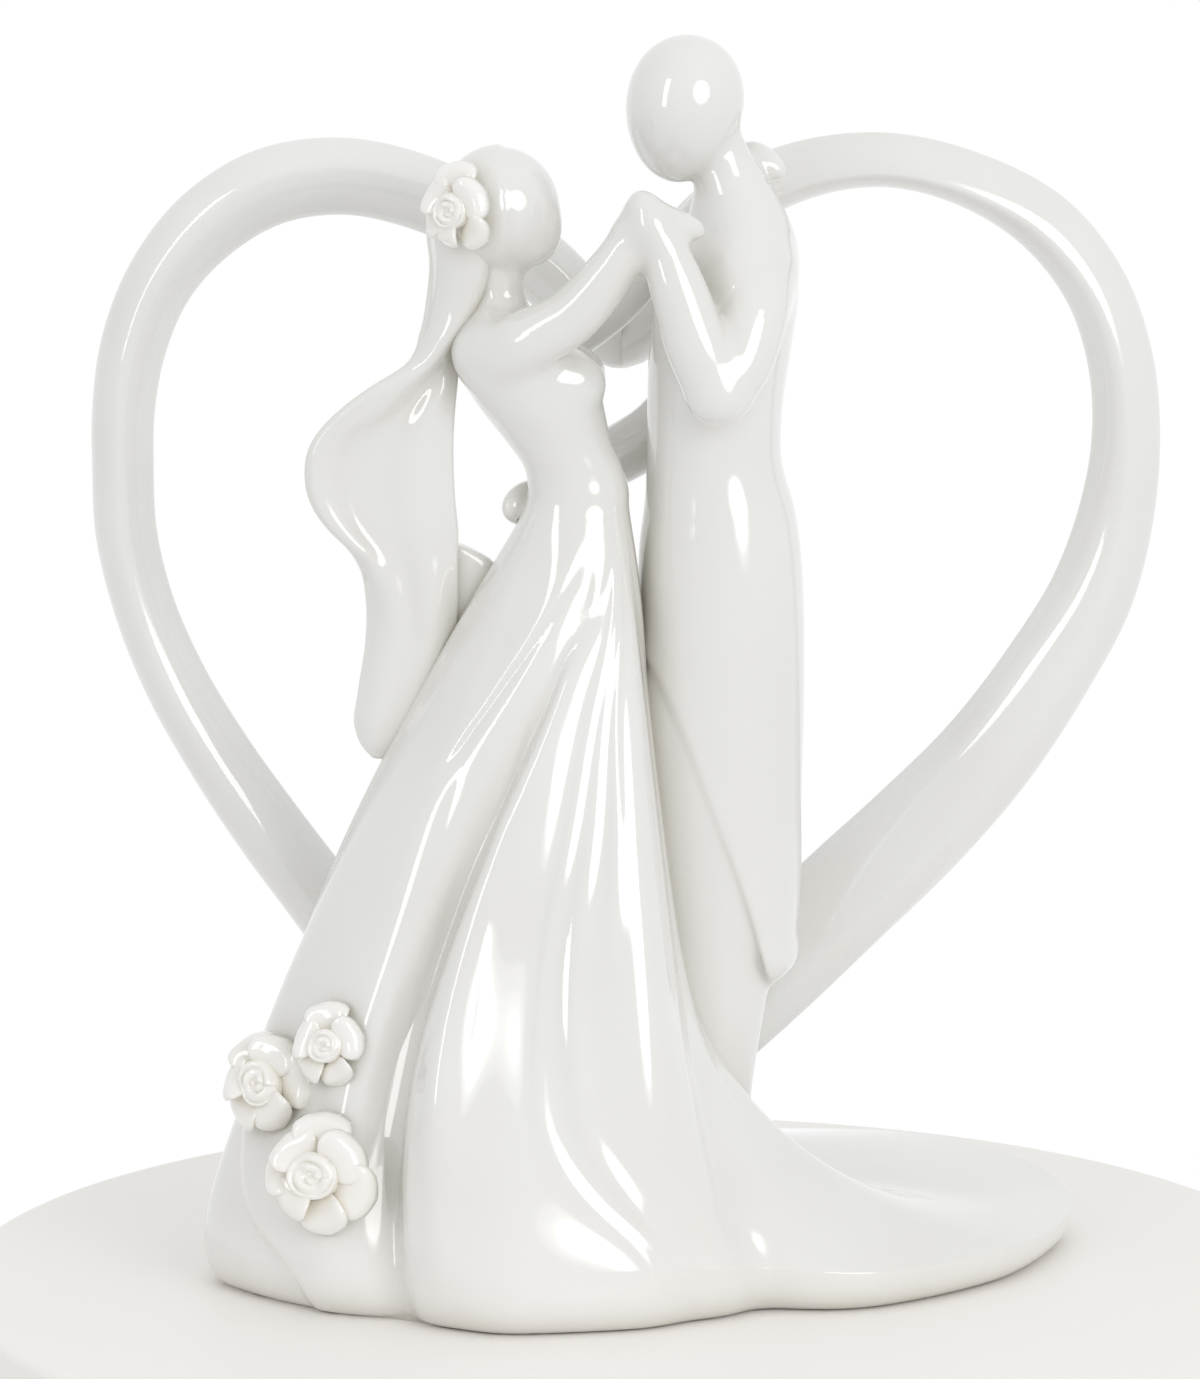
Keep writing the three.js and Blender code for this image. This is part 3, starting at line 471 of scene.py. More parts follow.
def stack(levels, end_round=1.5):
    """Level ovals: height, x, y, half width, half depth and, where it differs, half width on the left."""
    levels = np.array([[*level, level[3]][:6] for level in levels], float)
    low, high = levels[0, 0], levels[-1, 0]

    def distance(x, y, z):
        middle_x, middle_y, half_width, half_depth, left_width = np.moveaxis(through(levels, z), -1, 0)
        half_width = np.where(x < middle_x, left_width, half_width)
        away = np.sqrt((x - middle_x) ** 2 + (y - middle_y) ** 2) + 1e-6
        share = np.sqrt(((x - middle_x) / half_width) ** 2 + ((y - middle_y) / half_depth) ** 2) + 1e-6
        return soft_cut(away - away / share, -np.maximum(low - z, z - high), end_round)

    reach = levels[:, [5, 4]].max(0)
    box = np.array([[*(levels[:, 1:3].min(0) - reach), low], [*(levels[:, 1:3].max(0) + reach), high]])
    return distance, box


def limb(points, radii, steps=8):
    """Round sections along a smooth curve."""
    rows = np.column_stack([np.arange(len(points)), points, radii])
    line = through(rows, np.linspace(0, len(points) - 1, steps * (len(points) - 1) + 1))

    def distance(x, y, z):
        nearest = 1e3
        for start, end in zip(line[:-1], line[1:]):
            run = end[:3] - start[:3]
            along = (x - start[0]) * run[0] + (y - start[1]) * run[1] + (z - start[2]) * run[2]
            along = np.clip(along / (run @ run), 0, 1)
            gap = ((x - start[0] - along * run[0]) ** 2 + (y - start[1] - along * run[1]) ** 2
                   + (z - start[2] - along * run[2]) ** 2)
            nearest = np.minimum(nearest, np.sqrt(gap) - start[3] - along * (end[3] - start[3]))
        return nearest

    reach = line[:, 3:].max()
    return distance, np.array([line[:, :3].min(0) - reach, line[:, :3].max(0) + reach])


def egg(middle, half, along, across=(0, 1, 0), taper=0.0):
    """Ellipsoid with half sizes along, across and through, slimmer by a taper towards its front end."""
    middle = np.asarray(middle, float)
    first = np.asarray(along, float) / np.linalg.norm(along)
    second = np.asarray(across, float) - first * (first @ np.asarray(across, float))
    second = second / np.linalg.norm(second)
    third = np.cross(first, second)

    def distance(x, y, z):
        x, y, z = x - middle[0], y - middle[1], z - middle[2]
        u = (x * first[0] + y * first[1] + z * first[2]) / half[0]
        slim = 1 - taper * np.clip(u, -1, 1)
        v = (x * second[0] + y * second[1] + z * second[2]) / (half[1] * slim)
        w = (x * third[0] + y * third[1] + z * third[2]) / (half[2] * slim)
        share = np.sqrt(u * u + v * v + w * w) + 1e-6
        steep = np.sqrt((u / half[0]) ** 2 + (v / half[1] / slim) ** 2 + (w / half[2] / slim) ** 2) + 1e-6
        return share * (share - 1) / steep

    reach = max(half) * (1 + abs(taper))
    return distance, np.array([middle - reach, middle + reach])


# Groom's coat and trousers: levels of stack(), and the cutaway's front edge as height, x
coat_levels = [
    (36, 12.2, 0.4, 5.5, 7.4), (38, 11.9, 0.2, 8.2, 8.8, 10), (44, 11.6, 0, 9.4, 9.8, 13),
    (62, 11.8, 0, 9.7, 10.4, 13), (74, 11.9, 0, 9.8, 10.6, 11.6), (80, 11.9, 0, 9.8, 10.7, 10.8),
    (88, 11.7, 0, 9.7, 10.4, 10.3), (92, 11.5, 0, 9.5, 10.1, 9.8), (95, 11.3, 0, 9.2, 9.8),
    (101, 10.7, 0, 8.2, 9.2), (107, 10.7, 0, 8.2, 9.4), (115, 11.4, 0, 8.6, 10.8), (122, 12.3, 0, 8.6, 11.6),
    (127, 13.1, 0, 7.6, 10.6), (131, 13.6, 0, 5.6, 7.4), (134, 13.4, 0, 3.6, 4.4),
]
cutaway_edge = [
    (30, 18.4), (36, 17.6), (40.4, 16.6), (48.3, 14.5), (60, 10.5), (70, 6.6), (77.4, 2.5), (84, -4),
]
cutaway_round = 0.8
trouser_levels = [
    (3, 9.3, 0, 6.6, 7.0, 9), (22, 9.1, 0, 6.6, 7.4, 10), (36, 10.2, 0, 7.5, 8.6, 11.5),
    (52, 11.1, 0, 8.9, 9.8, 12.5), (70, 11.5, 0, 9.4, 10.3, 12), (82, 11.6, 0, 9.2, 10),
]
leg_parting, leg_parting_width = 1.4, 1.3
leg_parting_x, leg_parting_run = 9, 4
leg_parting_top, leg_parting_fade = 44, 10


def groom_coat():
    """The coat, cut away in front along a curved edge."""
    distance, box = stack(coat_levels)

    def cut(x, y, z):
        edge = through(cutaway_edge, z)[..., 0]
        return soft_cut(distance(x, y, z), x - edge, cutaway_round)

    return cut, box


def groom_trousers():
    """The trousers, with a groove between the legs that shows below the coat."""
    distance, box = stack(trouser_levels)

    def parted(x, y, z):
        groove = leg_parting * np.exp(-(y / leg_parting_width) ** 2)
        groove = groove * np.clip((x - leg_parting_x) / leg_parting_run, 0, 1)
        groove = groove * np.clip((leg_parting_top - z) / leg_parting_fade, 0, 1)
        return distance(x, y, z) + groove

    return parted, box


# Groom's head and neck, near arm and far arm: forms, each with the softness that joins it to those before it
groom_head_parts = [
    (egg((6.9, 0, 143.8), (8.95, 7.5, 7.05), (-0.17, 0, -1), taper=0.09), 0.5),
    (limb([(13.4, 0, 128), (12.6, 0, 133.4), (11.4, 0, 138), (9.6, 0, 142)], [5.6, 4.5, 3.4, 3.2]), 1),
]
groom_left_parts = [
    (limb([(14.6, -6, 124.2), (15, -10.2, 121), (13.5, -13.2, 115.2), (11, -14.6, 111.4)],
          [5, 4.5, 4.1, 3.9]), 3),
    (limb([(11, -14.6, 111.4), (8.4, -15.2, 117), (6.2, -15, 123.4), (4.6, -14.6, 128)],
          [3.9, 3.8, 3.4, 2.8]), 1.2),
    (egg((2.9, -14.4, 131.5), (4.2, 2.9, 2.6), (-0.42, 0.1, 0.9), taper=0.12), 1.2),
]
groom_right_parts = [
    (limb([(14.4, 7.2, 124.4), (12.8, 10.8, 118), (9, 12.6, 110), (5.5, 12.6, 103.6)],
          [4.4, 4.3, 4.1, 3.9]), 3),
    (limb([(5.5, 12.6, 103.6), (-3, 10.6, 99), (-9.5, 6, 96.2)], [3.9, 3.5, 2.8]), 1.6),
    (egg((-12.0, 0.2, 95.8), (4.4, 2.7, 2.0), (-0.62, -0.78, -0.1), (0, 0, 1), taper=0.05), 1.2),
]
# Bride above the waist, leaning back
bodice_levels = [
    (93, -5.8, -4, 4.9, 4.2), (96, -5.8, -4, 5.5, 4.8), (98.4, -5.9, -4, 5.95, 5.3),
    (101, -6.5, -4, 6.0, 5.4), (104, -8.2, -4, 6.4, 5.8), (108.3, -10.3, -4, 7.6, 7.2),
    (112.4, -11.8, -4, 8.6, 8), (115.5, -13.6, -4, 7.6, 8.2), (118.4, -15, -4, 5.0, 6.2),
    (120.6, -15.3, -4, 3.0, 3.6),
]
gown_top_low, gown_top_rise = 92, 2
gown_top_levels, gown_top_lines = 40, 600
gown_top_shrink = 0.12
gown_top_box = (-22, -16), (6, 8)


def gown_top():
    """The gown's own surface under the bodice, so that the two meet without a step."""
    low, high = gown_top_low, waist_height + gown_top_rise
    levels = np.linspace(low, high, gown_top_levels)
    # One reading of the gown's reach for each degree round the waist
    turns = np.linspace(-math.pi, math.pi, 361)
    lines = np.linspace(0, len(hem_outline), gown_top_lines, endpoint=False)
    rings = gown_point(lines[None, :], levels[:, None])
    ring_turn = np.arctan2(rings[..., 1] - waist_y, rings[..., 0] - waist_x)
    ring_away = np.hypot(rings[..., 1] - waist_y, rings[..., 0] - waist_x)
    past_gown = np.clip(levels[:, None] - waist_height + bodice_overlap, 0, None)
    ring_away -= gown_top_shrink * past_gown ** 2
    reaches = np.stack([np.interp(turns, turn, away, period=2 * math.pi)
                        for turn, away in zip(ring_turn, ring_away)])

    def distance(x, y, z):
        turn = (np.arctan2(y - waist_y, x - waist_x) + math.pi) * 180 / math.pi
        level = np.clip((z - low) / (levels[1] - low), 0, len(levels) - 1.001)
        turn, level = np.broadcast_arrays(turn, level)
        i = np.minimum(turn.astype(int), 359)
        k = level.astype(int)
        s, t = turn - i, level - k
        reach = ((1 - s) * (1 - t) * reaches[k, i] + s * (1 - t) * reaches[k, i + 1]
                 + (1 - s) * t * reaches[k + 1, i] + s * t * reaches[k + 1, i + 1])
        return np.maximum(np.hypot(x - waist_x, y - waist_y) - reach, np.maximum(low - z, z - high))

    return distance, np.array([[*gown_top_box[0], low], [*gown_top_box[1], high]])


# Bride's bodice, head and neck, near arm and far arm, as the groom's
bride_bodice_parts = [
    (stack(bodice_levels), 0.6),
    (egg((-6, -7.1, 111.7), (3.2, 3, 3.2), (1, 0, 0)), 2.2),
    (egg((-6, -0.9, 111.7), (3.2, 3, 3.2), (1, 0, 0)), 2.2),
]
bride_head_parts = [
    (egg((-14.9, -4, 132.2), (7.4, 6.8, 6.85), (0.4, 0, -0.92), taper=0.03), 0.5),
    (egg((-11.7, -4, 128.9), (3.3, 3.6, 3.3), (0.5, 0, -0.86)), 2.5),
    (limb([(-15.3, -4, 117), (-15.2, -4, 121.5), (-15.4, -4, 127)], [3.6, 2.9, 3.0]), 1.4),
]
bride_right_parts = [
    (limb([(-16.7, -7.2, 114.6), (-12.5, -10.8, 116.7), (-6.8, -12.6, 120.1), (-2, -13.2, 125.5),
           (0.8, -13.2, 130)], [3.8, 3.8, 3.4, 3.0, 2.5]), 2),
    (limb([(0.8, -13.2, 130), (1.6, -12.8, 132)], [2.5, 2.2]), 1),
    (egg((5.4, -12.6, 131.4), (4.1, 2.2, 1.8), (0.92, 0, -0.3)), 0.6),
]
bride_left_parts = [
    (limb([(-13.5, 3.6, 114.4), (-8, 8.6, 114.7), (-1.5, 11.6, 118.5), (4, 12.4, 124.2), (10, 11.6, 130.6)],
          [3.6, 3.2, 2.9, 2.6, 2.3]), 2),
    (limb([(10, 11.6, 130.6), (13.4, 8.8, 134.8), (15.4, 5, 137)], [2.3, 2.1, 1.7]), 0.8),
    (egg((16.6, 3.6, 137.1), (3.3, 1.9, 1.7), (0.75, -0.35, -0.5), taper=0.1), 0.8),
]
cap_edge, cap_thickness, cap_round = -14.6, 0.35, 0.6
cap_height, cap_lean = 132, 0.04


def veil_cap():
    """The veil lies close on the back of the head and ends in a soft edge over the crown."""
    distance, box = bride_head_parts[0][0]

    def shell(x, y, z):
        past_edge = cap_edge - x - (z - cap_height) * cap_lean
        return soft_cut(distance(x, y, z) - cap_thickness, past_edge, cap_round)

    return shell, box + np.array([[-1, -1, -1], [1, 1, 1]]) * cap_thickness


# Every piece of the couple: its forms, and the softness that joins it to the pieces before it
couple = {
    "groom_trousers": ([(groom_trousers(), 0.5)], 0.4),
    "groom_coat": ([(groom_coat(), 0.5)], 1.2),
    "groom_head": (groom_head_parts, 2.2),
    "groom_left_arm": (groom_left_parts, 3),
    "groom_right_arm": (groom_right_parts, 2.2),
    "bride_bodice": (bride_bodice_parts + [(gown_top(), 0.8)], 0.5),
    "bride_head": (bride_head_parts, 2),
    "bride_right_arm": (bride_right_parts, 1.8),
    "bride_left_arm": (bride_left_parts, 1.8),
    "bridal_veil": ([(veil_cap(), 0.2)], 0.5),
}
grain_size, grain_margin = 0.35, 3
field_low = np.array([-26.0, -22.0, 2.0])
field_high = np.array([27.0, 19.0, 155.0])
far = 6.0
settle_rounds, settle_step = 3, 0.5
joint_rounds = 10

ticks = [np.arange(low, high, grain_size) for low, high in zip(field_low, field_high)]
field = np.full([len(tick) for tick in ticks], far, np.float32)
for parts, joint_softness in couple.values():
    group = np.full(field.shape, far, np.float32)
    for (distance, box), softness in parts:
        reach = softness + grain_margin * grain_size
        start = np.clip(((box[0] - reach - field_low) / grain_size).astype(int), 0, None)
        stop = np.minimum(((box[1] + reach - field_low) / grain_size).astype(int) + 2, field.shape)
        part = tuple(slice(a, b) for a, b in zip(start, stop))
        x, y, z = (tick[cut] for tick, cut in zip(ticks, part))
        gap = distance(x[:, None, None], y[None, :, None], z[None, None, :])
        group[part] = soft_union(group[part], np.minimum(gap, far), softness)
    field = soft_union(field, group, joint_softness)

grid = openvdb.FloatGrid(far)
grid.copyFromArray(field)
points, quads = grid.convertToQuads(0.0)
points = np.asarray(points, float)
quads = np.asarray(quads, int)


def sample(values, places):
    """Reads a grid of values between its points."""
    base = np.clip(np.floor(places).astype(int), 0, np.array(values.shape[:3]) - 2)
    part = places - base
    total = 0
    for corner in np.ndindex(2, 2, 2):
        weight = np.prod(np.where(corner, part, 1 - part), axis=1)
        where = tuple((base + corner).T)
        total = total + weight * values[where]
    return total


# The points settle on the field's surface and take their normals from its slopes
slopes = np.gradient(field)
for _ in range(settle_rounds):
    normals = np.stack([sample(slope, points) for slope in slopes], 1)
    steep = np.einsum("ij,ij->i", normals, normals)
    miss = np.clip(sample(field, points), -settle_step, settle_step)
    points = points - normals * (miss / np.maximum(steep, 1e-3))[:, None]
normals = np.stack([sample(slope, points) for slope in slopes], 1)
normals /= np.linalg.norm(normals, axis=1, keepdims=True)
points = field_low + points * grain_size
one_diagonal = points[quads[:, 2]] - points[quads[:, 0]]
other_diagonal = points[quads[:, 3]] - points[quads[:, 1]]
if np.einsum("ij,ij->", np.cross(one_diagonal, other_diagonal), normals[quads[:, 0]]) < 0:
    quads = quads[:, ::-1]

# Each point belongs to the piece whose own form lies nearest, evened out along the joints
owner_score = np.zeros((len(points), len(couple)), np.float32)
nearness = np.stack([np.min([distance(*points.T) for (distance, _), _ in parts], axis=0)
                     for parts, _ in couple.values()], 1)
owner_score[np.arange(len(points)), nearness.argmin(1)] = 1
meeting = np.maximum(np.bincount(quads.ravel(), minlength=len(points)), 1)[:, None]
for _ in range(joint_rounds):
    face_score = owner_score[quads].mean(1)
    owner_score = np.stack([np.bincount(quads.ravel(), np.repeat(face_score[:, k], 4), len(points))
                            for k in range(len(couple))], 1) / meeting
owner = owner_score[quads].mean(1).argmax(1)
for k, node in enumerate(couple):
    own = quads[owner == k]
    if node == "bride_bodice":
        own = own[points[own][:, :, 2].mean(1) > bodice_foot]
    used, own = np.unique(own, return_inverse=True)
    piece = solid_mesh(node, points[used], own.reshape(-1, 4).tolist(), porcelain, normals[used])
    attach(piece, "root")
    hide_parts(node)


# Veil
# Below the cap the veil is a rolled sheet of clay, a little over a millimetre thick. It comes off the head as
# a fold like a gutter, twists behind the shoulder and opens into a lobe on the left and a panel on the right.

veil_thickness = 1.3
veil_rim, veil_rim_width, veil_rim_place = 0.45, 0.8, 0.6
veil_rows, veil_across, veil_round = 150, 44, 6
# Height, then x and y of six points across: left edge, inside of its rim, dish, crease, panel, right edge
veil_levels = [
    (64.9, -30.2, -2.4, -30, -2.8, -29.6, -3, -29.2, -3, -28.9, -2.8, -28.6, -2.4),
    (66.1, -31.3, -2.2, -30.9, -3.2, -30.1, -3.7, -29.3, -3.7, -28.5, -3.4, -27.8, -2.5),
    (68.6, -32.3, -1.9, -31.7, -3.4, -30.4, -4.2, -28.9, -4.2, -27.2, -3.9, -25.5, -2.5),
    (72.9, -31.9, -1.7, -31.2, -3.4, -29.7, -4.4, -27.7, -4.4, -25.4, -4.2, -23, -2.6),
    (79, -31, -1.7, -30.2, -3.4, -28.4, -4.5, -26.2, -4.4, -23.8, -4.5, -21.4, -2.9),
    (83.9, -30.9, -1.8, -30, -3.4, -28.2, -4.7, -26.2, -4.3, -23.6, -4.8, -21, -3.1),
    (88.2, -31.6, -2.6, -30.8, -4.6, -29.2, -4.5, -27, -4.2, -23.8, -4.6, -21, -3.3),
    (90.2, -32.6, -4.2, -31.8, -5.2, -30.2, -4.4, -27.8, -4.1, -24.2, -4.5, -21, -3.3),
    (93.1, -35.3, -5.3, -34.2, -5.6, -32.3, -4.3, -28.9, -4, -24.7, -4.5, -21, -3.4),
    (96.1, -37.3, -5.8, -36.1, -5.9, -33.6, -4.4, -29.7, -3.9, -25.1, -4.5, -21.3, -3.5),
    (99.8, -38.2, -6.1, -36.9, -6, -34.2, -4.5, -30, -3.9, -25.3, -4.5, -21.5, -3.5),
    (104.7, -37, -6.2, -35.6, -6.1, -32.6, -4.7, -28.2, -3.8, -24.5, -4.3, -21.5, -3.4),
    (107.8, -34.2, -6, -32.8, -5.9, -30, -5.4, -26.2, -3.5, -23.5, -4.3, -21.3, -3.2),
    (110.9, -30, -5.2, -28.9, -5.8, -26.8, -5.6, -24, -3.6, -22.3, -3.8, -21, -3),
    (113.3, -26, -4.2, -25.5, -5.3, -24.3, -5.8, -22.5, -4.2, -21.5, -3.2, -20.8, -2.6),
    (117.3, -24.1, -3, -23.2, -5.4, -20.8, -6.4, -20, -4.4, -20.1, -2.2, -20.6, -1.6),
    (121, -23.4, -2.5, -22.1, -5.6, -18.7, -6.6, -17.9, -4.2, -18.5, -1.6, -19.8, -1),
    (125.2, -23, -2.2, -21.6, -6, -17.3, -7, -16.7, -4, -17.6, -1.2, -19, -0.5),
    (129.2, -23.3, -2, -21.8, -6.3, -17.3, -7.3, -16.6, -4, -17.3, -1, -18.8, 0),
    (133, -22.6, -2, -21.5, -6, -18, -7, -17, -4, -17.6, -1, -18.8, -0.5),
]

veil_heights = np.linspace(veil_levels[0][0], veil_levels[-1][0], veil_rows)
outlines = []
for level in through(veil_levels, veil_heights):
    across = level.reshape(-1, 2)
    stations = np.concatenate([[0], np.cumsum(np.linalg.norm(np.diff(across, axis=0), axis=1))])
    along = np.linspace(0, stations[-1], veil_across)
    curve = through(np.column_stack([stations, across]), along)
    run = np.gradient(curve, axis=0)
    run /= np.linalg.norm(run, axis=1, keepdims=True) + 1e-9
    side = np.column_stack([run[:, 1], -run[:, 0]])
    half = min(veil_thickness / 2, stations[-1] / 3)
    turn = np.linspace(0, math.pi, veil_round + 2)[1:-1]
    left_end = curve[0] - half * np.outer(np.sin(turn), run[0]) - half * np.outer(np.cos(turn), side[0])
    right_end = curve[-1] + half * np.outer(np.sin(turn), run[-1]) + half * np.outer(np.cos(turn), side[-1])
    rim = half * (1 + veil_rim * np.exp(-(along[:, None] / veil_rim_width - veil_rim_place) ** 2))
    outlines.append(np.concatenate([curve + rim * side, right_end, (curve - rim * side)[::-1], left_end]))
outlines = np.array(outlines)
rings = np.dstack([outlines, np.broadcast_to(veil_heights[:, None], outlines.shape[:2])])
veil = solid_mesh("bridal_veil_sheet", *tube(rings), porcelain)
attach(veil, "root")
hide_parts("bridal_veil")


# Stay
# A small web of clay props the veil off the gown, so that the thin sheet doesn't sag in the kiln. It is cut
# from a slab, luted to both with slip and rounded off with a wet finger.

stay_y, stay_half_depth = -0.8, 1.7
stay_rings, stay_columns, stay_blunt = 24, 32, 0.75
# Height, left edge and right edge
stay_levels = [
    (78, -25.4, -20.6), (84, -24.4, -16.4), (87.6, -23.2, -15.4), (89.4, -22.8, -17), (90.8, -22.4, -19.8),
]


def blunt(wave, power):
    """A wave raised to a power with its sign kept, for ovals with fuller or sharper corners."""
    return np.sign(wave) * np.abs(wave) ** power


stay_heights = np.linspace(stay_levels[0][0], stay_levels[-1][0], stay_rings)
stay_edges = through(stay_levels, stay_heights)
turns = np.linspace(0, 2 * math.pi, stay_columns, endpoint=False)
oval_x = blunt(np.cos(turns), stay_blunt)
oval_y = blunt(np.sin(turns), stay_blunt)
middle = stay_edges.mean(1)[:, None]
half_width = (stay_edges[:, 1] - stay_edges[:, 0])[:, None] / 2
rings = np.stack([middle + half_width * oval_x, stay_y + stay_half_depth * oval_y + 0 * middle,
                  stay_heights[:, None] + 0 * oval_x], -1)
stay = solid_mesh("veil_stay", *tube(rings), porcelain)
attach(stay, "root")
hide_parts("veil_stay")


# Heart
# Two ridged bands, pressed in halves, meet at the cleft and are seated on the back of the gown. The ridge
# wanders from one edge of the band towards the other as the band turns.

heart_y, heart_depth, heart_bulge = 22, 9, 1.55
cleft_x, tip_x = -0.5, -11.4
heart_rows, heart_columns = 260, 88
# Height between the cut at the cleft and the cut at the tip, and the angle that counts as a sharp edge
heart_parting, heart_crease = 60, 70
# Middle line of each band: x, height, width, share of the width that lies outside the ridge
left_band = [
    (3.5, 115.4, 8.6, 0.33), (-0.5, 113.6, 8.6, 0.33), (-4.5, 116, 8.6, 0.33), (-9.6, 121.3, 8.6, 0.33),
    (-24.4, 130.9, 9.3, 0.33), (-35.7, 133.3, 9.6, 0.36), (-44, 132, 9.7, 0.38), (-51.9, 127.2, 9.4, 0.4),
    (-57.6, 120.4, 8.6, 0.42), (-61, 112.3, 8.2, 0.44), (-62.4, 103.5, 7.8, 0.45), (-62.5, 97, 7.7, 0.45),
    (-62.2, 89, 7.7, 0.45), (-60.2, 80, 7.7, 0.45), (-56.2, 70, 8.1, 0.43), (-51, 60.8, 8.5, 0.42),
    (-44.8, 51.5, 9, 0.42), (-38.2, 42.5, 9.2, 0.42), (-24, 22.8, 9.2, 0.42), (-11.4, 6.5, 8, 0.42),
    (-7, 1.5, 8, 0.42),
]
right_band = [
    (-4.5, 115.4, 8.5, 0.6), (-0.5, 113.6, 8.5, 0.6), (2.8, 116.2, 8.5, 0.63), (6, 122, 8.5, 0.66),
    (11.6, 128.8, 8.2, 0.68), (20.5, 133.6, 7.4, 0.69), (32, 135.3, 6.8, 0.69), (42.6, 132.8, 7, 0.67),
    (52, 127.3, 7.9, 0.62), (58.2, 119.4, 8, 0.58), (61.4, 110, 8.2, 0.55), (62.1, 100, 8.6, 0.52),
    (61, 91, 9.5, 0.48), (58, 81, 10.6, 0.43), (52.6, 71.3, 11.4, 0.38), (45, 60.4, 12.4, 0.34),
    (36.4, 51, 13.4, 0.32), (28.5, 43.4, 13.8, 0.32), (9, 24.5, 13, 0.32), (-11.4, 6.5, 9, 0.32),
    (-17, 2, 8, 0.32),
]


def heart_half(name, band, outward):
    """One band of the heart, cut off straight at the cleft above and at the tip below."""
    line = np.asarray(band, float)
    stations = np.concatenate([[0], np.cumsum(np.linalg.norm(np.diff(line[:, :2], axis=0), axis=1))])
    line = through(np.column_stack([stations, line]), np.linspace(0, stations[-1], heart_rows))
    run = np.gradient(line[:, :2], axis=0)
    run /= np.linalg.norm(run, axis=1, keepdims=True)
    out = np.column_stack([run[:, 1], -run[:, 0]]) * outward
    turns = np.linspace(0, 2 * math.pi, heart_columns, endpoint=False)
    across = blunt(np.cos(turns), 2 / heart_bulge)
    through_depth = blunt(np.sin(turns), 2 / heart_bulge)
    share = np.where(across > 0, line[:, 3:4], 1 - line[:, 3:4])
    offset = (0.5 - line[:, 3:4]) * line[:, 2:3] + across * share * line[:, 2:3]
    depth = heart_y + heart_depth / 2 * through_depth + 0 * offset
    rings = np.stack([line[:, 0:1] + out[:, 0:1] * offset, depth, line[:, 1:2] + out[:, 1:2] * offset], -1)
    half = solid_mesh(name, *tube(rings), porcelain)
    work = bmesh.new()
    work.from_mesh(half.data)
    for cut_x in (cleft_x, tip_x):
        faces = [face for face in work.faces
                 if (face.calc_center_median().z > heart_parting * MM) == (cut_x == cleft_x)]
        edges = dict.fromkeys(edge for face in faces for edge in face.edges)
        corners = dict.fromkeys(corner for face in faces for corner in face.verts)
        bmesh.ops.bisect_plane(work, geom=[*faces, *edges, *corners], plane_co=(cut_x * MM, 0, 0),
                               plane_no=(outward, 0, 0), clear_outer=True)
    bmesh.ops.holes_fill(work, edges=[edge for edge in work.edges if edge.is_boundary])
    work.to_mesh(half.data)
    work.free()
    half.data.set_sharp_from_angle(angle=math.radians(heart_crease))
    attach(half, "root")
    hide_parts(name)


heart_half("heart_left_half", left_band, 1)
heart_half("heart_right_half", right_band, -1)


# Flowers
# Each flower is built by hand from pinched petals round a rolled bud, and stuck on with slip before glazing.
# The clay is a little warmer where the glaze is thick in the hearts, and the hearts are darkened as painted
# shade.

rose_colour = (0.95, 0.94, 0.915, 1)
# Colour deep in the flowers: warmer where the glaze pools, and darker as painted shade
rose_pool_and_shade = (0.92, 0.885, 0.8, 1)
rose_ripple = 0.012
rose_glaze = glazed("rose_porcelain", rose_colour, rose_pool_and_shade, rose_ripple)
# Bud: sizes are shares of the flower's radius
bud_turns, bud_rings, bud_side_rings, bud_columns = 2.3, 40, 6, 96
bud_radius, bud_crown, bud_sink = 0.44, 0.62, 0.2
bud_dome, bud_dome_middle = 0.12, 0.55
bud_shoulder, bud_shoulder_start = 1.36, 0.78
bud_rim, bud_rim_lean, bud_rim_round, bud_rim_start = 0.085, 0.8, 0.8, 4
bud_rim_mean, bud_rim_sway, bud_sway_turns = 0.75, 0.45, 2.5
bud_oval = 0.05
# Petals: sizes are shares of the flower's radius, and a wobble makes each one a little different
petal_rings, petal_columns, petal_start = 14, 56, 0.04
petal_blunt = 3.1
petal_wobble_turns = 7.3
petal_heading_wobble, petal_width_wobble, petal_reach_wobble = 0.14, 0.08, 0.05
petal_width, petal_width_shared = 0.42, 1.05
petal_shape = (0.82, 0.2, -0.14)
inner_reach, outer_reach, petal_tip = 0.86, 1, 0.09
inner_root, outer_root = 0.2, 0.3
inner_lift, outer_lift = 0.34, 0.2
petal_arch, petal_arch_middle = 0.12, 0.15
petal_cup, petal_tilt, petal_tilt_wobble = 0.1, 0.11, 0.03
petal_roll, petal_roll_start, petal_roll_power = 0.15, 0.2, 5
petal_half_thickness = 0.1


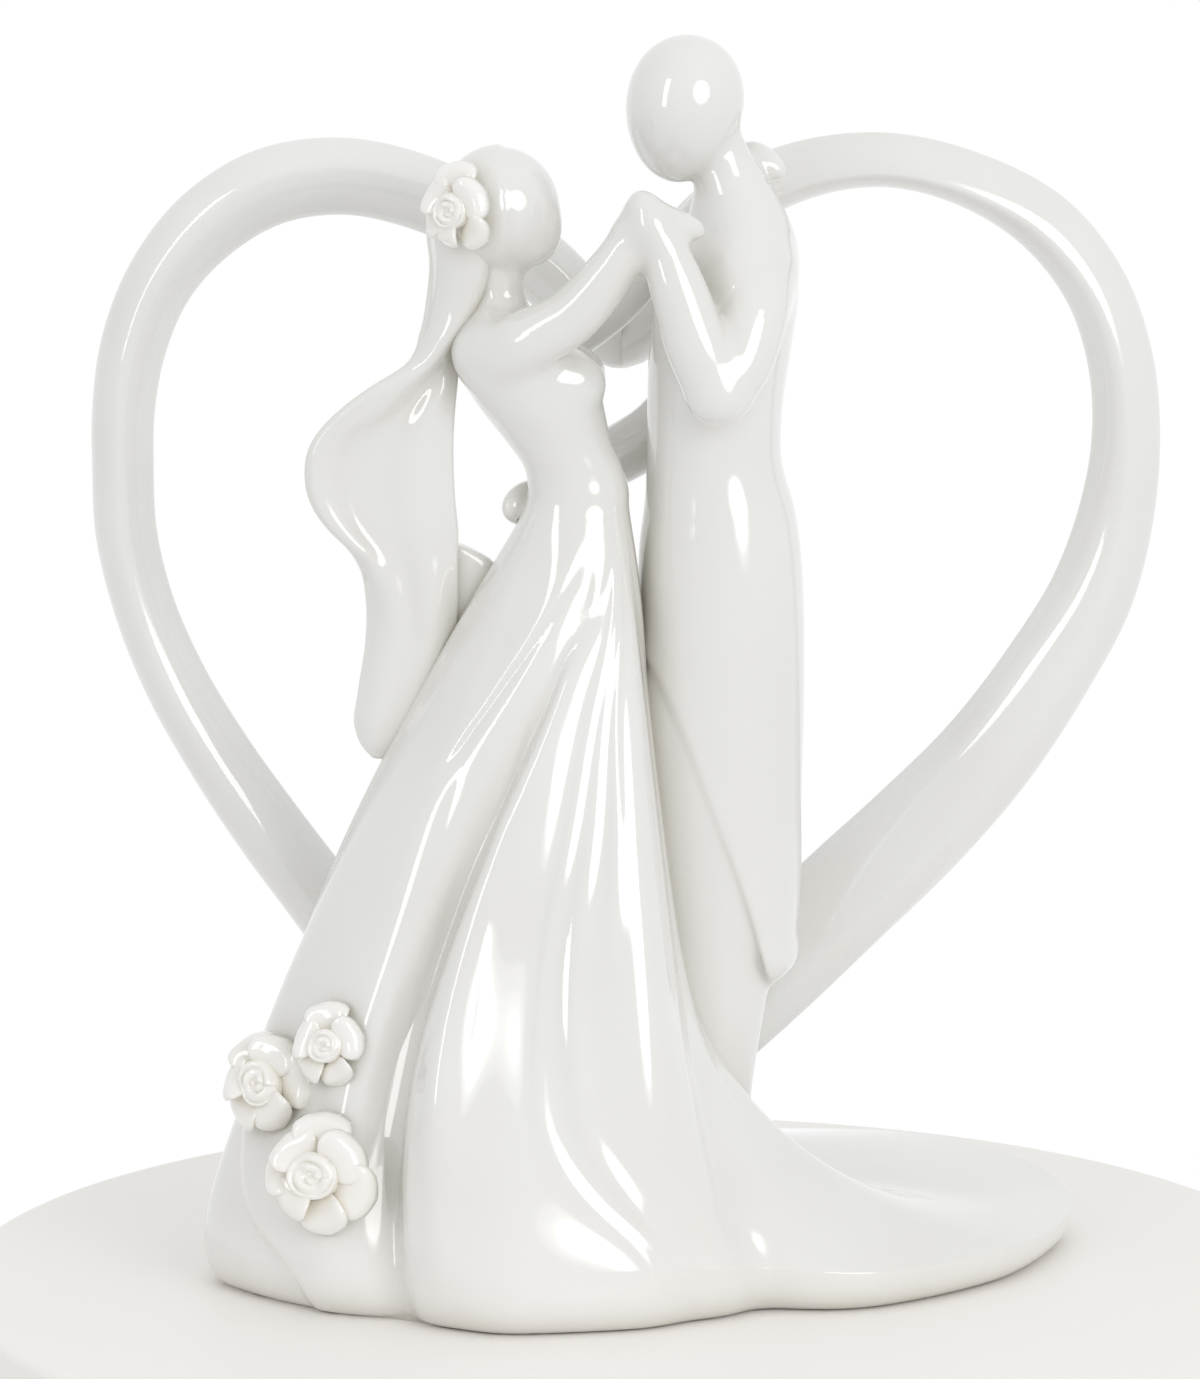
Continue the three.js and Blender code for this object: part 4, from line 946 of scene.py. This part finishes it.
def flower(name, place, outward, radius, petals, spin):
    """A bud and its petals at a place, facing outward and turned by a spin."""
    outward = np.asarray(outward, float) / np.linalg.norm(outward)
    first = np.cross((0, 0, 1), outward)
    first /= np.linalg.norm(first)
    second = np.cross(outward, first)

    def stand(a, b, c):
        return np.asarray(place) + a[..., None] * first + b[..., None] * second + c[..., None] * outward

    # The bud is a ball of wrapped petals: a coil of rounded rims that sinks towards its heart
    out = np.concatenate([np.linspace(0.02, 1, bud_rings), np.full(bud_side_rings, 1)])[:, None]
    down = np.concatenate([np.zeros(bud_rings), np.linspace(0, 1, bud_side_rings + 1)[1:]])[:, None]
    angle = np.linspace(0, 2 * math.pi, bud_columns, endpoint=False)
    wrap = (bud_turns * out - (angle + spin) / (2 * math.pi)) % 1
    rim = np.sin(math.pi * wrap ** bud_rim_lean) ** bud_rim_round * np.clip(out * bud_rim_start, 0, 1)
    rim = rim * (bud_rim_mean + bud_rim_sway * np.sin(bud_sway_turns * angle + 5 * spin + 3 * out))
    crown = bud_crown - bud_dome * (out - bud_dome_middle) ** 2
    crown = crown - bud_shoulder * np.clip(out - bud_shoulder_start, 0, 1) ** 2
    lift = radius * (crown + bud_rim * rim * (1 - down)) * (1 - down) - bud_sink * radius * down
    away = bud_radius * radius * out * (1 + bud_oval * np.sin(2 * angle + 3 * spin)) + 0 * lift
    rings = stand(away * np.cos(angle), away * np.sin(angle), lift)
    bud = solid_mesh(name + "_bud", *tube(rings), rose_glaze)
    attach(bud, "root")
    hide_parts(name + "_bud")

    # A petal is a thick rounded pad with a rolled rim. Every other one stands closer to the bud and higher
    growing = np.linspace(petal_start, 1, petal_rings)
    shrinking = np.linspace(1, petal_start, petal_rings)[1:]
    rim = np.concatenate([growing, shrinking])[:, None]
    face = np.concatenate([np.ones(petal_rings), -np.ones(petal_rings - 1)])[:, None]
    around = np.linspace(0, 2 * math.pi, petal_columns, endpoint=False)
    u = rim * blunt(np.cos(around), 2 / petal_blunt)
    v = rim * blunt(np.sin(around), 2 / petal_blunt)
    for k in range(petals):
        wobble = math.sin(petal_wobble_turns * k + 2 * spin)
        inner = k % 2 == 0 and k + 1 < petals
        heading = spin + 2 * math.pi * (k + petal_heading_wobble * wobble) / petals
        width = radius * (petal_width + petal_width_shared / petals) * (1 + petal_width_wobble * wobble)
        reach = radius * (inner_reach if inner else outer_reach) * (1 + petal_reach_wobble * wobble)
        root = radius * (inner_root if inner else outer_root)
        tip = radius * petal_tip * (1 - np.abs(u)) * np.clip(v, 0, 1)
        along = root + (reach - root) * (v + 1) / 2 + tip
        side = width * u * (petal_shape[0] + petal_shape[1] * v + petal_shape[2] * v ** 2)
        hump = radius * (inner_lift if inner else outer_lift)
        hump = hump + radius * petal_arch * (1 - (v - petal_arch_middle) ** 2)
        cup = radius * (petal_cup * u ** 2 + (petal_tilt - petal_tilt_wobble * wobble) * u)
        roll = radius * petal_roll * rim ** petal_roll_power * np.clip(v + petal_roll_start, 0, 1)
        pad = np.sqrt(np.clip(1 - rim ** petal_roll_power, 0, 1))
        leaf = face * petal_half_thickness * radius * pad + 0 * u
        a = along * math.cos(heading) - side * math.sin(heading)
        b = along * math.sin(heading) + side * math.cos(heading)
        c = hump + cup + leaf - roll
        petal = solid_mesh(f"{name}_petal_{k + 1}", *tube(stand(a, b, c)), rose_glaze)
        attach(petal, "root")
        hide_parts(f"{name}_petal_{k + 1}")


# Roses on the gown: radius, petals, line of the hem outline, height and spin
roses = {
    "rose_upper": (4.9, 5, 14.75, 32.4, 0.3),
    "rose_left": (6.3, 6, 13.95, 26.4, 1.1),
    "rose_lower": (6.9, 7, 15.08, 17.4, 0.5),
}
seat_half_line, seat_half_height = 0.1, 1
# The maker bends the roses forward from the gown, to face the front
rose_turn = 0.55
rose_front = np.array((0, -1, 0.1))
for name, (radius, petals, line, height, spin) in roses.items():
    along = gown_point(line + seat_half_line, height) - gown_point(line - seat_half_line, height)
    upward = gown_point(line, height + seat_half_height) - gown_point(line, height - seat_half_height)
    seat = np.cross(along, upward)
    seat /= np.linalg.norm(seat)
    flower(name, gown_point(line, height), seat + rose_turn * rose_front, radius, petals, spin)

# The flower at the bride's temple sits on her head, along a bearing from the head's middle
hair_middle = np.array((-15.1, -4, 132.4))
hair_bearing = np.array((-0.64, -0.76, 0.03))
hair_reach, hair_radius, hair_petals, hair_spin = 6.6, 5.2, 6, 0.4
hair_place = hair_middle + hair_reach * hair_bearing
flower("hair_flower", hair_place, hair_bearing, hair_radius, hair_petals, hair_spin)
